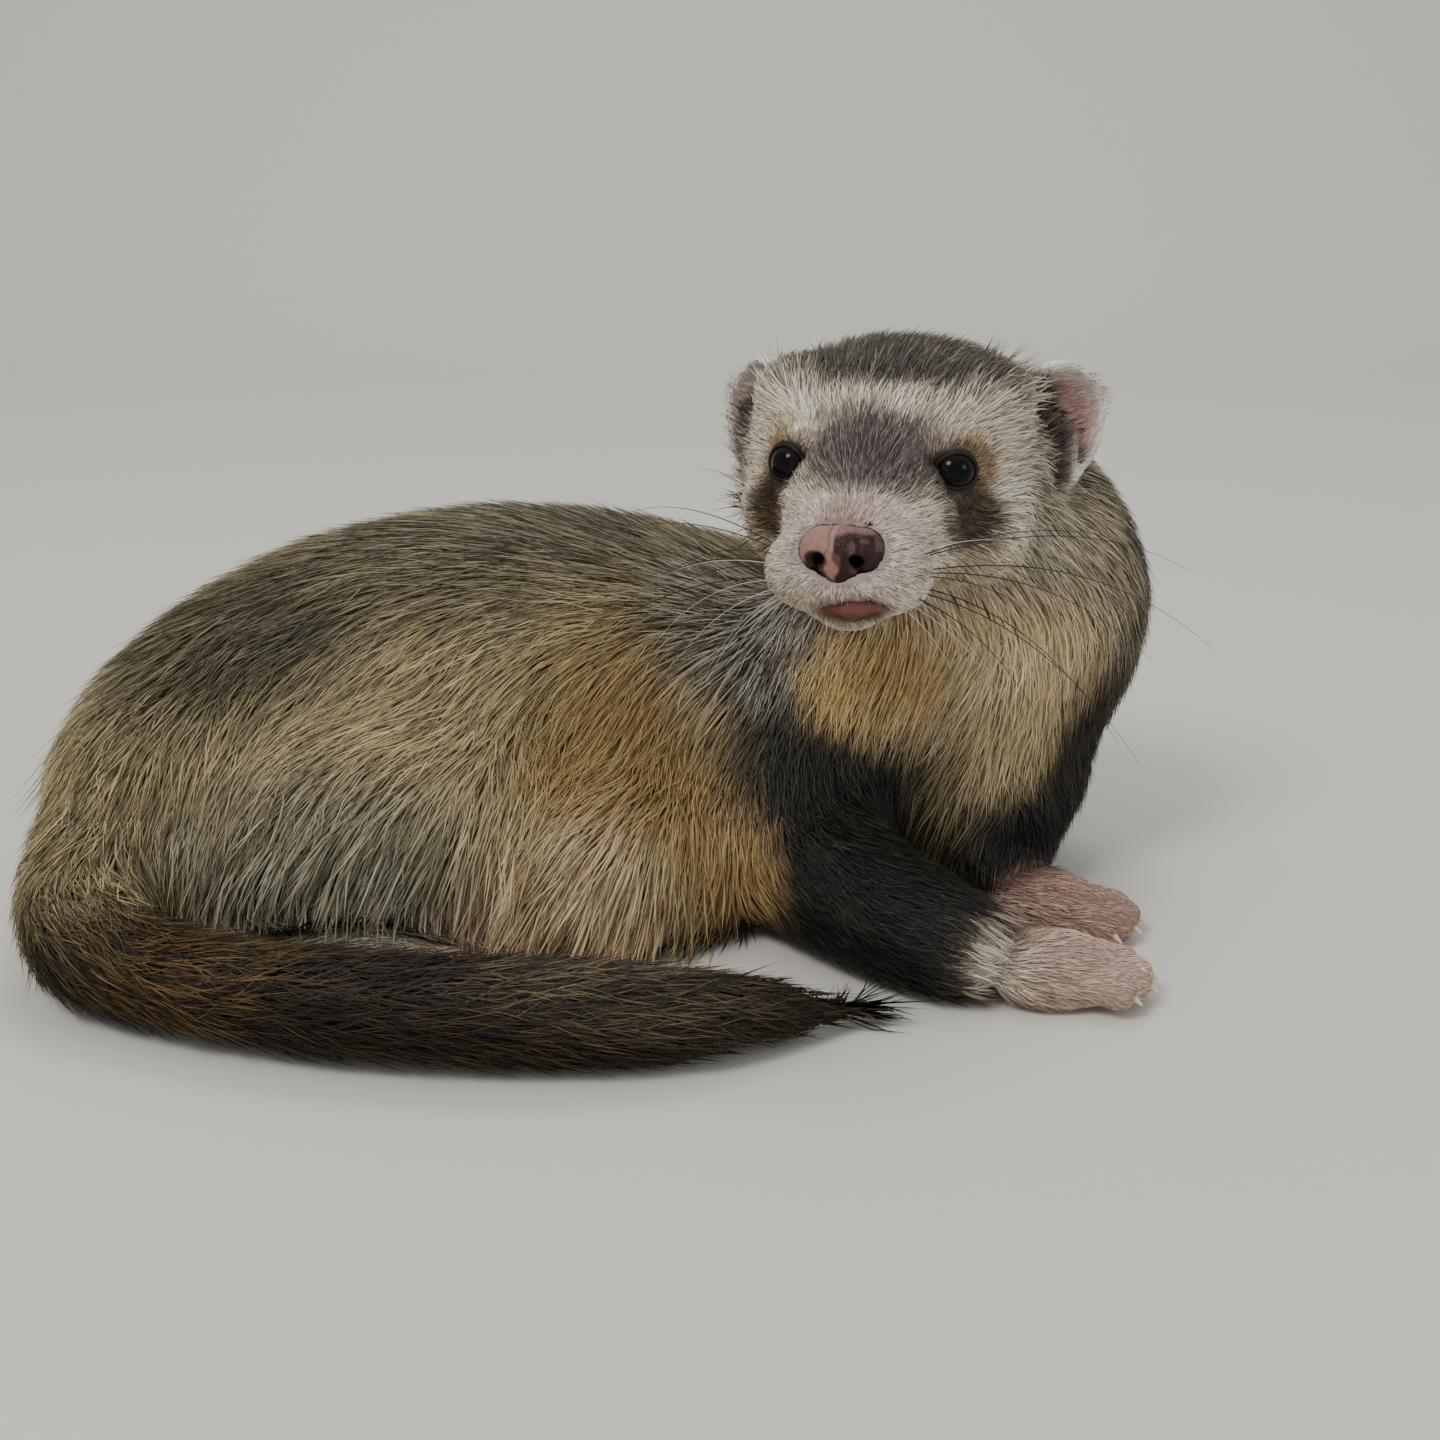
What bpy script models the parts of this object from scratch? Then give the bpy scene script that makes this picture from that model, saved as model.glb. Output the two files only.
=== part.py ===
"""A still, life-size ferret lying on the floor: its body curled to its right, its head up and
its tail laid round in front. Metres, +Z up, the floor at z = 0.

Every form below is given in millimetres in the animal's resting frame: x runs along the body
from rump to chest, y from the near flank to the far one, z up. The soft forms are fused into
one body, smoothed, and parted with thin cuts into head, neck, trunk, legs, ears and tail.
"""

import math

import bmesh
import bpy
from mathutils import Euler, Matrix, Vector
from mathutils.bvhtree import BVHTree

MM = 0.001
GAP = 0.3  # between touching pieces, in mm
FLOOR = 0.0

# Driving sizes, in mm
EYE_SPACING = 25.6
EYE_RADIUS = 3.9
EYE_OUTWARD = 27.0  # degrees
EYE_UPWARD = -6.0
EYE_SINK = 2.7
LID_FORWARD = 2.7
LID_RADII = (3.9, 3.4)
LID_THICKNESS = 0.8
EAR_HEIGHT = 11.0
EAR_WIDTH = 9.2
EAR_DEPTH = 6.4
EAR_WALL = 1.6
NOSE_RADII = (6.4, 4.2, 4.9)
MOUTH_RADII = (0.55, 0.3)  # of the groove, at its middle and its corners
LIP_RADII = (2.5, 1.3)  # at its middle and its ends
LIP_SINK = 1.4
TOE_LENGTH = 8.0
TOE_RADIUS = 2.9
CLAW_LENGTH = 3.0
CLAW_RADIUS = 0.8

# The head's frame: its origin midway between the eyes, x to the animal's left, y backwards
HEAD_PLACE = (25.7, -21.6, 84.0)
HEAD_YAW = -15.0
HEAD_PITCH = -3.5

# How finely the fused body is rebuilt, in mm, and how many triangles each part of it keeps
BODY_VOXEL = 2.2
BODY_SMOOTHING = 26
HEAD_VOXEL = 1.2
HEAD_SMOOTHING = 14
SKIN_VOXEL = 0.95
SKIN_SMOOTHING = 6
NOSE_VOXEL = 0.42
NOSE_SMOOTHING = 6
COARSE_TRIANGLES = 3800
FINE_TRIANGLES = 7400
NOSE_TRIANGLES = 540

# Trunk, rump to chest: x, y, z, half width, half height
TRUNK = [
    (-104, -36, 15, 12, 12),
    (-100, -24, 22, 22, 21),
    (-92, -8, 26, 31, 27),
    (-76, 7, 30, 38, 33),
    (-52, 16, 33, 43, 35.5),
    (-28, 20, 33, 44, 35),
    (-4, 21, 30.5, 40, 32.5),
    (22, 18, 30, 34, 28),
    (44, 13, 33, 31, 29),
    (59, 5, 34, 22, 25),
    (66, 0, 32, 10, 14),
]

# Neck, chest to skull: x, y, z, half width, half depth
NECK = [
    (48, 17, 30, 25, 26),
    (51, 17, 42, 29, 29),
    (51.5, 16, 53, 30.5, 29),
    (46, 13, 64, 28, 27),
    (38.5, 8, 74, 23.5, 24),
    (33, 2, 80, 16, 16),
]

# Tail, root to tip: x, y, z, half width, half height
TAIL = [
    (-100, -18, 22, 16, 16),
    (-108, -34, 14, 13, 14),
    (-103, -52, 10.5, 11, 11),
    (-86, -62, 9.3, 9.6, 9.6),
    (-64, -69.5, 9.3, 9.6, 9.6),
    (-41, -73, 9.3, 9.6, 9.6),
    (-20, -73.5, 9.0, 9.4, 9.4),
    (-4, -71.5, 8.0, 8.2, 8.2),
    (8, -67, 6.0, 5.8, 5.8),
    (16, -63.5, 4.6, 3.8, 3.8),
    (24, -60, 3.8, 1.4, 1.4),
]

# Legs, from the body to the wrist or heel: x, y, z, half width, half height
RIGHT_FORELEG = [
    (26, 0, 42, 17, 18),
    (16, -8, 27, 15, 17),
    (15, -20, 15, 13.5, 15),
    (24, -34, 11.5, 12.5, 12.5),
    (35, -45.5, 9.5, 11, 11.5),
    (45, -52, 7.5, 9.5, 9),
]
LEFT_FORELEG = [
    (60, 20, 44, 14, 16),
    (61.5, 20, 30, 12.5, 13),
    (60, 11, 19, 12, 12.5),
    (55.5, 0, 14, 10.2, 11),
    (52.5, -11, 10, 8.5, 9.5),
    (51.5, -21, 7, 7, 7.5),
]

# Bulges of flesh and coat: centre, radii
BULGES = [
    ((24, 0, 42), (19, 18, 22)),  # right shoulder
    ((58.5, 26, 46), (16, 17, 20)),  # left shoulder
    ((46, 0, 36), (21, 18, 24)),  # breast
    ((42, -3, 20), (18, 15, 18)),  # between the forelegs
    ((-60, -14, 20), (40, 34, 23)),  # right thigh
    ((-54, 40, 24), (34, 27, 26)),  # left thigh
    ((-88, -22, 17), (21, 21, 19)),  # seat
    ((-26, -13, 12), (34, 31, 21)),  # right flank
    ((-4, -9, 9), (20, 23, 17)),  # hollow of the flank, down to the floor
]

HEAD_SQUARENESS = 2.25

# Head, muzzle to nape, in the head's frame: x, y, z, half width, half height
HEAD = [
    (0, -28.0, -12.2, 5.0, 4.6),
    (0, -25.5, -12.8, 8.4, 7.4),
    (0, -19.0, -13.0, 10.8, 9.4),
    (0, -11.0, -11.6, 12.8, 11.8),
    (0, -4.0, -9.2, 15.4, 14.0),
    (0, 3.0, -6.8, 19.2, 16.8),
    (0, 12.0, -4.8, 24.6, 20.4),
    (0, 21.0, -3.4, 28.2, 22.8),
    (0, 30.0, -3.6, 29.4, 23.9),
    (0, 39.0, -5.5, 27.0, 23.0),
    (0, 47.0, -9.0, 20.0, 17.0),
]
HEAD_BULGES = [
    ((6.8, -19.0, -14.4), (7.4, 8.4, 6.8)),  # whisker pads
    ((0.0, -16.0, -20.0), (6.8, 9.0, 4.8)),  # chin
    ((15.5, 14.0, -9.5), (10.5, 16.0, 12.0)),  # cheeks
    ((11.0, 5.0, 3.4), (8.0, 8.5, 4.6)),  # brows
    ((24.0, 27.0, 1.5), (8.0, 9.0, 8.5)),  # roots of the ears
    ((16.5, 17.0, 10.5), (9.0, 10.5, 7.8)),  # corners of the crown
    ((12.2, 2.6, -0.2), (5.6, 6.2, 5.6)),  # eyes under their lids
]

# Ears: the cup is an outer form less a smaller one moved towards its mouth. The right one is
# held a little closer to the head.
EAR_PLACES = {1: (27.3, 29.0, 5.8), -1: (-25.7, 29.4, 4.6)}
EAR_TURN = (-6.0, 16.0, 37.0)
EAR_FRONT = 0.45  # where the cup is cut open, over its depth
EAR_BOWL_LIFT = 0.6
EAR_MOUTH = 20.0  # half the side of the block that opens the cup

NOSE_PLACE = (0.0, -25.4, -10.5)
# The forms of the nose pad: centre and radii over the pad's own
NOSE_PAD = ((0, 0, 0), (0.80, 1.0, 0.86))
NOSE_FOOT = ((0, 0.07, -0.42), (0.50, 0.86, 0.62))
NOSE_WING = ((0.46, 0.19, 0.04), (0.56, 0.95, 0.74))
# Nostrils, each with a slit at its outer side: place, turn in degrees, radii
NOSTRIL = ((2.9, -3.1, -0.5), (-18, 24, 30), (1.45, 3.0, 1.05))
NOSTRIL_SLIT = ((1.9, 0.2, -0.9), (1.9, 2.2, 0.5))
NOSE_GROOVE = ((0, -4.0, -3.4), (0.35, 1.2, 3.6))
# The line of the mouth, from under the nose to its right corner, in the head's frame
MOUTH = [
    (0, -29, -15.8),
    (3.2, -27.5, -16.3),
    (6.6, -24, -17.0),
    (9.4, -18, -17.4),
    (11.6, -10, -17.0),
    (13, -3, -15.8),
]

# The bare lower lip, from its right end to its left one, in the head's frame
LIP = [
    (-2.4, -25.0, -18.8),
    (0.2, -26.0, -19.2),
    (2.4, -26.0, -19.3),
    (4.6, -25.2, -19.1),
    (6.6, -23.6, -18.6),
]

FOREPAW = {"palm": (11.5, 8.2, 6.8), "toes": 5, "spread": 62.0}
HINDPAW = {"palm": (17.0, 7.6, 6.2), "toes": 5, "spread": 46.0}
# Paws: the palm's centre and the heading of the middle toe, in degrees from +x
PAWS = {
    "forepaw_right": (FOREPAW, (55, -50.0, 5.0), 4.0),
    "forepaw_left": (FOREPAW, (58.0, -23.5, 4.6), -4.0),
    "hindpaw_right": (HINDPAW, (-62, -46.5, 4.0), -2.0),
    "hindpaw_left": (HINDPAW, (-36, 63.0, 5.0), 10.0),
}

# Frames of the cuts that part the body: origin, turn in degrees, and the frame they are in
CUT_FRAMES = {
    "tail_tip": ((-43, -74, 0), (0, 0, 0), "body"),
    "tail_middle": ((-86, -62, 0), (0, 0, -12), "body"),
    "tail_base": ((-106, -32, 0), (0, 0, 20), "body"),
    "foreleg_right": ((15, -20, 0), (0, 0, -44), "body"),
    "foreleg_left": ((55, 4, 0), (0, 0, 0), "body"),
    "thigh_right": ((-58, -14, 0), (0, 0, 0), "body"),
    "thigh_left": ((-54, 40, 0), (0, 0, 0), "body"),
    "head": ((0, 27, -12), (38, 0, 0), "head"),
    "neck": ((50, 16, 48), (0, 0, 0), "body"),
    "chest": ((30, 15, 30), (0, 0, -6), "body"),
    "hips": ((-50, 15, 30), (0, 0, 10), "body"),
}
# The cuts in their order: name, low and high corner of a box in the cut's frame
CUTS = [
    ("tail_tip", (0, -22, -9), (71, 19, 30)),
    ("tail_middle", (0, -24, -9), (60, 14, 30)),
    ("tail_base", (-40, -60, -9), (20, 0, 32)),
    ("forepaw_right", (-8, -18, -9), (40, 14, 20)),
    ("forepaw_left", (-14, -12, -9), (40, 7.5, 8.5)),
    ("hindpaw_right", (-20, -20, -9), (36, 9.5, 8.5)),
    ("hindpaw_left", (-20, -9, -9), (36, 30, 9)),
    ("foreleg_right", (-16, -26, -9), (50, 13, 34)),
    ("foreleg_left", (-8, -40, -9), (40, 44, 31)),
    ("thigh_right", (-36, -60, -9), (36, 6, 40)),
    ("thigh_left", (-36, 6, -9), (36, 60, 38)),
    ("head", (-32, -52, 0), (32, 50, 60)),
    ("neck", (-34, -60, 0), (60, 60, 60)),
    ("chest", (-20, -90, -60), (90, 90, 60)),
    ("hips", (-120, -120, -60), (0, 120, 90)),
]
FINE_PIECES = ("head", "forepaw_right", "forepaw_left", "hindpaw_right", "hindpaw_left")

# Colour and roughness of each material
MATERIALS = {
    "fur_flank": ((0.36, 0.30, 0.21), 0.85),
    "fur_dark": ((0.06, 0.05, 0.042), 0.85),
    "fur_throat": ((0.60, 0.50, 0.33), 0.85),
    "fur_face": ((0.55, 0.50, 0.44), 0.85),
    "ear_skin": ((0.66, 0.44, 0.40), 0.6),
    "paw_skin": ((0.66, 0.43, 0.39), 0.6),
    "nose_skin": ((0.36, 0.19, 0.18), 0.35),
    "lip_skin": ((0.60, 0.36, 0.33), 0.4),
    "eye": ((0.010, 0.008, 0.008), 0.08),
    "claw": ((0.74, 0.66, 0.58), 0.35),
}
NODE_MATERIALS = {
    "head": "fur_face",
    "neck": "fur_throat",
    "chest": "fur_dark",
    "loin": "fur_flank",
    "hips": "fur_flank",
    "thigh": "fur_flank",
    "foreleg": "fur_dark",
    "tail": "fur_dark",
    "forepaw": "paw_skin",
    "hindpaw": "paw_skin",
    "ear": "ear_skin",
    "eye": "eye",
    "nose": "nose_skin",
    "lower": "lip_skin",
}


def clear_scene():
    for obj in list(bpy.data.objects):
        bpy.data.objects.remove(obj)


def collection(name):
    made = bpy.data.collections.new(name)
    bpy.context.scene.collection.children.link(made)
    return made


def material(name):
    made = bpy.data.materials.new(name)
    made.use_nodes = True
    shader = made.node_tree.nodes["Principled BSDF"]
    colour, roughness = MATERIALS[name]
    shader.inputs["Base Color"].default_value = (*colour, 1.0)
    shader.inputs["Roughness"].default_value = roughness
    return made


def mesh_object(name, bm, home):
    """An object in collection home, from a bmesh in mm."""
    bmesh.ops.scale(bm, vec=(MM, MM, MM), verts=bm.verts)
    bmesh.ops.recalc_face_normals(bm, faces=bm.faces)
    mesh = bpy.data.meshes.new(name)
    bm.to_mesh(mesh)
    bm.free()
    made = bpy.data.objects.new(name, mesh)
    home.objects.link(made)
    return made


def smooth_path(stations, steps):
    """Stations joined by a Catmull-Rom curve, each number of a station treated alike."""
    rows = [Vector(row) for row in stations]
    rows = [2 * rows[0] - rows[1], *rows, 2 * rows[-1] - rows[-2]]
    path = []
    for a, b, c, d in zip(rows, rows[1:], rows[2:], rows[3:]):
        for step in range(steps):
            t = step / steps
            path.append(
                0.5 * ((2 * b) + (c - a) * t + (2 * a - 5 * b + 4 * c - d) * t**2
                       + (3 * b - a - 3 * c + d) * t**3)
            )
    path.append(rows[-2])
    return path


def rounded(turn, power):
    """A point on a unit superellipse: a circle where power is 2, squarer above it."""
    across, high = math.cos(turn), math.sin(turn)
    return (
        math.copysign(abs(across) ** (2 / power), across),
        math.copysign(abs(high) ** (2 / power), high),
    )


def loft(name, stations, home, up=(0, 0, 1), sides=28, steps=4, power=2.0, place=None):
    """A closed form through rounded sections: x, y, z, half width, half height."""
    path = smooth_path(stations, steps)
    bm = bmesh.new()
    rings = []
    for i, row in enumerate(path):
        before = path[max(i - 1, 0)]
        after = path[min(i + 1, len(path) - 1)]
        along = Vector(after[:3]) - Vector(before[:3])
        side = along.cross(Vector(up)).normalized()
        lift = side.cross(along).normalized()
        ring = []
        for k in range(sides):
            across, high = rounded(2 * math.pi * k / sides, power)
            offset = side * (row[3] * across) + lift * (row[4] * high)
            ring.append(bm.verts.new(Vector(row[:3]) + offset))
        rings.append(ring)
    for ring, following in zip(rings, rings[1:]):
        for k in range(sides):
            n = (k + 1) % sides
            bm.faces.new((ring[k], ring[n], following[n], following[k]))
    bm.faces.new(rings[0])
    bm.faces.new(rings[-1])
    if place is not None:
        bmesh.ops.transform(bm, matrix=place, verts=bm.verts)
    return mesh_object(name, bm, home)


def ellipsoid(name, centre, radii, home, place=None, segments=24, rings=14):
    bm = bmesh.new()
    bmesh.ops.create_uvsphere(bm, u_segments=segments, v_segments=rings, radius=1.0)
    bmesh.ops.scale(bm, vec=radii, verts=bm.verts)
    bmesh.ops.translate(bm, vec=centre, verts=bm.verts)
    if place is not None:
        bmesh.ops.transform(bm, matrix=place, verts=bm.verts)
    return mesh_object(name, bm, home)


def box(name, low, high, home, place=None):
    bm = bmesh.new()
    bmesh.ops.create_cube(bm, size=1.0)
    low, high = Vector(low), Vector(high)
    bmesh.ops.scale(bm, vec=high - low, verts=bm.verts)
    bmesh.ops.translate(bm, vec=(low + high) / 2, verts=bm.verts)
    if place is not None:
        bmesh.ops.transform(bm, matrix=place, verts=bm.verts)
    return mesh_object(name, bm, home)


def bake_modifiers(obj):
    """The object's mesh becomes what its modifiers make of it."""
    graph = bpy.context.evaluated_depsgraph_get()
    old = obj.data
    obj.data = bpy.data.meshes.new_from_object(obj.evaluated_get(graph))
    obj.modifiers.clear()
    bpy.data.meshes.remove(old)
    return obj


def boolean(obj, other, operation):
    modifier = obj.modifiers.new(operation.lower(), "BOOLEAN")
    modifier.operation = operation
    modifier.object = other
    modifier.solver = "EXACT"
    return bake_modifiers(obj)


def copy_of(obj, name, home):
    made = obj.copy()
    made.data = obj.data.copy()
    made.name = name
    home.objects.link(made)
    return made


def remove(*objects):
    for obj in objects:
        bpy.data.objects.remove(obj)


def joined(name, forms, home):
    """The forms as one mesh whose shells still cross each other."""
    bm = bmesh.new()
    for form in forms:
        bm.from_mesh(form.data)
    mesh = bpy.data.meshes.new(name)
    bm.to_mesh(mesh)
    bm.free()
    made = bpy.data.objects.new(name, mesh)
    home.objects.link(made)
    remove(*forms)
    return made


def fuse(obj, voxel, smoothing):
    """Crossing shells become one skin, whose creases are then smoothed away."""
    remesh = obj.modifiers.new("fuse", "REMESH")
    remesh.mode = "VOXEL"
    remesh.voxel_size = voxel * MM
    smooth = obj.modifiers.new("smooth", "SMOOTH")
    smooth.factor = 0.5
    smooth.iterations = smoothing
    return bake_modifiers(obj)


def thin_out(obj, triangles):
    """Fewer triangles, with the shape kept."""
    obj.modifiers.new("triangles", "TRIANGULATE")
    bake_modifiers(obj)
    decimate = obj.modifiers.new("decimate", "DECIMATE")
    decimate.ratio = min(1.0, triangles / len(obj.data.polygons))
    return bake_modifiers(obj)


def largest_piece(obj):
    """Only the largest closed surface stays."""
    bm = bmesh.new()
    bm.from_mesh(obj.data)
    left = set(bm.faces)
    pieces = []
    while left:
        stack = [left.pop()]
        piece = []
        while stack:
            face = stack.pop()
            piece.append(face)
            for edge in face.edges:
                for other in edge.link_faces:
                    if other in left:
                        left.remove(other)
                        stack.append(other)
        pieces.append(piece)
    pieces.sort(key=lambda piece: sum(face.calc_area() for face in piece))
    for piece in pieces[:-1]:
        bmesh.ops.delete(bm, geom=piece, context="FACES")
    bm.to_mesh(obj.data)
    bm.free()
    return obj


def turned(x, y, z):
    """A turn in degrees about x, then y, then z."""
    return Euler((math.radians(x), math.radians(y), math.radians(z))).to_matrix().to_4x4()


def head_matrix():
    return Matrix.Translation(HEAD_PLACE) @ turned(HEAD_PITCH, 0, HEAD_YAW)


def mirrored(places, side):
    return [((side * centre[0], centre[1], centre[2]), radii) for centre, radii in places]


def body_forms(home):
    forms = [
        loft("trunk", TRUNK, home),
        loft("neck", NECK, home, up=(0, -1, 0)),
        loft("tail", TAIL, home, sides=24),
        loft("right_foreleg", RIGHT_FORELEG, home, up=(1, 1, 0)),
        loft("left_foreleg", LEFT_FORELEG, home, up=(1, 1, 0)),
    ]
    for centre, radii in BULGES:
        forms.append(ellipsoid("bulge", centre, radii, home))
    return forms


def ear(side, home, growth=0.0, hollow=True):
    """A rounded cup whose mouth looks forwards and outwards."""
    tilt, lean, turn = EAR_TURN
    place = head_matrix() @ Matrix.Translation(EAR_PLACES[side])
    place = place @ turned(tilt, side * lean, side * turn)
    radii = [radius + growth for radius in (EAR_WIDTH, EAR_DEPTH, EAR_HEIGHT)]
    cup = ellipsoid("ear", (0, 0, 0), radii, home, place, 18, 12)
    front = -EAR_DEPTH * EAR_FRONT - growth
    low = (-EAR_MOUTH, -EAR_MOUTH, -EAR_MOUTH)
    mouth = box("mouth", low, (EAR_MOUTH, front, EAR_MOUTH), home, place)
    if hollow:
        inner = [radius - EAR_WALL for radius in radii]
        centre = (0, front + EAR_WALL * 0.4, EAR_BOWL_LIFT)
        bowl = ellipsoid("bowl", centre, inner, home, place, 18, 12)
        boolean(cup, bowl, "DIFFERENCE")
        remove(bowl)
    boolean(cup, mouth, "DIFFERENCE")
    remove(mouth)
    return cup


def head_forms(home):
    place = head_matrix()
    forms = [loft("skull", HEAD, home, sides=40, power=HEAD_SQUARENESS, place=place)]
    for side in (-1, 1):
        for centre, radii in mirrored(HEAD_BULGES, side):
            forms.append(ellipsoid("bulge", centre, radii, home, place))
    return forms


def paw_place(name):
    _, centre, heading = PAWS[name]
    return Matrix.Translation(centre) @ turned(0, 0, heading)


def toe_tips(name):
    """Each toe's root, tip and heading, in the paw's frame, from the inner to the outer."""
    paw = PAWS[name][0]
    length, width, _ = paw["palm"]
    toes = []
    for k in range(paw["toes"]):
        share = k / (paw["toes"] - 1) - 0.5
        heading = math.radians(share * paw["spread"])
        root = Vector((length * (0.72 - 0.9 * share * share), width * 1.25 * share, -0.6))
        reach = TOE_LENGTH * (1.05 - 0.8 * share * share)
        along = Vector((math.cos(heading), math.sin(heading), 0))
        toes.append((root, root + along * reach - Vector((0, 0, 1.3)), along))
    return toes


def paw_forms(name, home):
    place = paw_place(name)
    forms = [ellipsoid("palm", (0, 0, 0), PAWS[name][0]["palm"], home, place)]
    for root, tip, _ in toe_tips(name):
        middle = (root + tip) / 2 + Vector((0, 0, 0.9))
        stations = [
            (*root, TOE_RADIUS, TOE_RADIUS),
            (*middle, TOE_RADIUS * 1.05, TOE_RADIUS * 1.05),
            (*(middle.lerp(tip, 0.75)), TOE_RADIUS, TOE_RADIUS),
            (*tip, TOE_RADIUS * 0.72, TOE_RADIUS * 0.72),
        ]
        forms.append(loft("toe", stations, home, sides=12, place=place))
    return forms


def flesh(home):
    """The whole animal but its ears, eyes, nose and claws, as one smooth skin."""
    body = fuse(joined("body", body_forms(home), home), BODY_VOXEL, BODY_SMOOTHING)
    head = fuse(joined("head", head_forms(home), home), HEAD_VOXEL, HEAD_SMOOTHING)
    forms = [body, head]
    for name in PAWS:
        forms.extend(paw_forms(name, home))
    return fuse(joined("flesh", forms, home), SKIN_VOXEL, SKIN_SMOOTHING)


def thinned(obj, triangles, home):
    """Fewer triangles, and a flat underside where the flesh would sink into the floor."""
    thin_out(obj, triangles)
    ground = box("ground", (-300, -300, -50), (300, 300, FLOOR), home)
    boolean(obj, ground, "DIFFERENCE")
    remove(ground)
    return largest_piece(obj)


def cutter(name, place, low, high, home, growth=0.0):
    """A box in the frame of place, grown outwards on every side."""
    grown = Vector((growth, growth, growth))
    return box(name, Vector(low) - grown, Vector(high) + grown, home, place)


def carve(piece, rests, place, low, high, home):
    """The piece keeps what lies in the box, and the rests what lies off it by the gap."""
    inside = cutter("inside", place, low, high, home)
    outside = cutter("outside", place, low, high, home, GAP)
    boolean(piece, inside, "INTERSECT")
    for rest in rests:
        boolean(rest, outside, "DIFFERENCE")
        largest_piece(rest)
    remove(inside, outside)
    return largest_piece(piece)


def cut_place(cut):
    if cut in PAWS:
        return paw_place(cut)
    origin, turn, frame = CUT_FRAMES[cut]
    place = Matrix.Translation(origin) @ turned(*turn)
    return head_matrix() @ place if frame == "head" else place


def surface_of(obj):
    """A search tree of the object's surface, in mm."""
    bm = bmesh.new()
    bm.from_mesh(obj.data)
    bmesh.ops.scale(bm, vec=(1 / MM, 1 / MM, 1 / MM), verts=bm.verts)
    tree = BVHTree.FromBMesh(bm)
    bm.free()
    return tree


def eye_place(side):
    """The eyeball's frame: its centre under the lids, y looking into the head."""
    place = Matrix.Translation((side * EYE_SPACING / 2, 0, 0))
    return head_matrix() @ place @ turned(EYE_UPWARD, 0, side * EYE_OUTWARD)


def seat_eye(side, surface):
    """The eyeball's frame moved in or out till the ball stands in the skin."""
    place = eye_place(side)
    outwards = (place.to_3x3() @ Vector((0, -1, 0))).normalized()
    start = place.translation + outwards * 30
    hit = surface.ray_cast(start, -outwards)[0]
    place.translation = hit - outwards * EYE_SINK
    return place


def ring(name, radii, thickness, place, home, segments=28, sides=8):
    """A closed ring around the y axis of place, its section round."""
    bm = bmesh.new()
    loops = []
    for k in range(segments):
        turn = 2 * math.pi * k / segments
        out = Vector((math.cos(turn), 0, math.sin(turn)))
        centre = Vector((radii[0] * out.x, 0, radii[1] * out.z))
        loop = []
        for n in range(sides):
            angle = 2 * math.pi * n / sides
            offset = out * math.cos(angle) + Vector((0, 1, 0)) * math.sin(angle)
            loop.append(bm.verts.new(place @ (centre + offset * thickness)))
        loops.append(loop)
    for k in range(segments):
        near, far = loops[k], loops[(k + 1) % segments]
        for n in range(sides):
            m = (n + 1) % sides
            bm.faces.new((near[n], near[m], far[m], far[n]))
    return mesh_object(name, bm, home)


def add_eye(side, name, head, surface, home):
    place = seat_eye(side, surface)
    lid_place = place @ Matrix.Translation((0, -LID_FORWARD, 0))
    lid = ring("lid", LID_RADII, LID_THICKNESS, lid_place, home)
    boolean(head, lid, "UNION")
    socket = ellipsoid("socket", (0, 0, 0), [EYE_RADIUS + GAP] * 3, home, place, 24, 14)
    boolean(head, socket, "DIFFERENCE")
    remove(lid, socket)
    return ellipsoid(name, (0, 0, 0), [EYE_RADIUS] * 3, home, place, 20, 12)


def nose_forms(home, growth=0.0):
    """The nose pad before its nostrils, broad above and narrow below."""
    place = head_matrix() @ Matrix.Translation(NOSE_PLACE)
    own = [radius + growth for radius in NOSE_RADII]
    forms = []
    for centre, radii in (NOSE_PAD, NOSE_FOOT, *mirrored([NOSE_WING], 1), *mirrored([NOSE_WING], -1)):
        centre = [share * size for share, size in zip(centre, own)]
        radii = [share * size for share, size in zip(radii, own)]
        forms.append(ellipsoid("nose_form", centre, radii, home, place))
    return forms


def add_nose(head, home):
    nose = fuse(joined("nose", nose_forms(home), home), NOSE_VOXEL, NOSE_SMOOTHING)
    place = head_matrix() @ Matrix.Translation(NOSE_PLACE)
    (out, front, high), (tilt, lean, turn), radii = NOSTRIL
    (slit_out, slit_front, slit_high), slit_radii = NOSTRIL_SLIT
    for side in (-1, 1):
        hole = place @ Matrix.Translation((side * out, front, high))
        hole = hole @ turned(tilt, side * lean, side * turn)
        nostril = ellipsoid("nostril", (0, 0, 0), radii, home, hole, 16, 10)
        boolean(nose, nostril, "DIFFERENCE")
        centre = (side * slit_out, slit_front, slit_high)
        slit = ellipsoid("slit", centre, slit_radii, home, hole, 16, 10)
        boolean(nose, slit, "DIFFERENCE")
        remove(nostril, slit)
    groove = ellipsoid("groove", *NOSE_GROOVE, home, place, 12, 10)
    boolean(nose, groove, "DIFFERENCE")
    remove(groove)
    thin_out(nose, NOSE_TRIANGLES)
    grown = fuse(joined("grown", nose_forms(home, GAP), home), NOSE_VOXEL, NOSE_SMOOTHING // 2)
    thin_out(grown, NOSE_TRIANGLES)
    boolean(head, grown, "DIFFERENCE")
    remove(grown)
    return largest_piece(nose)


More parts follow.
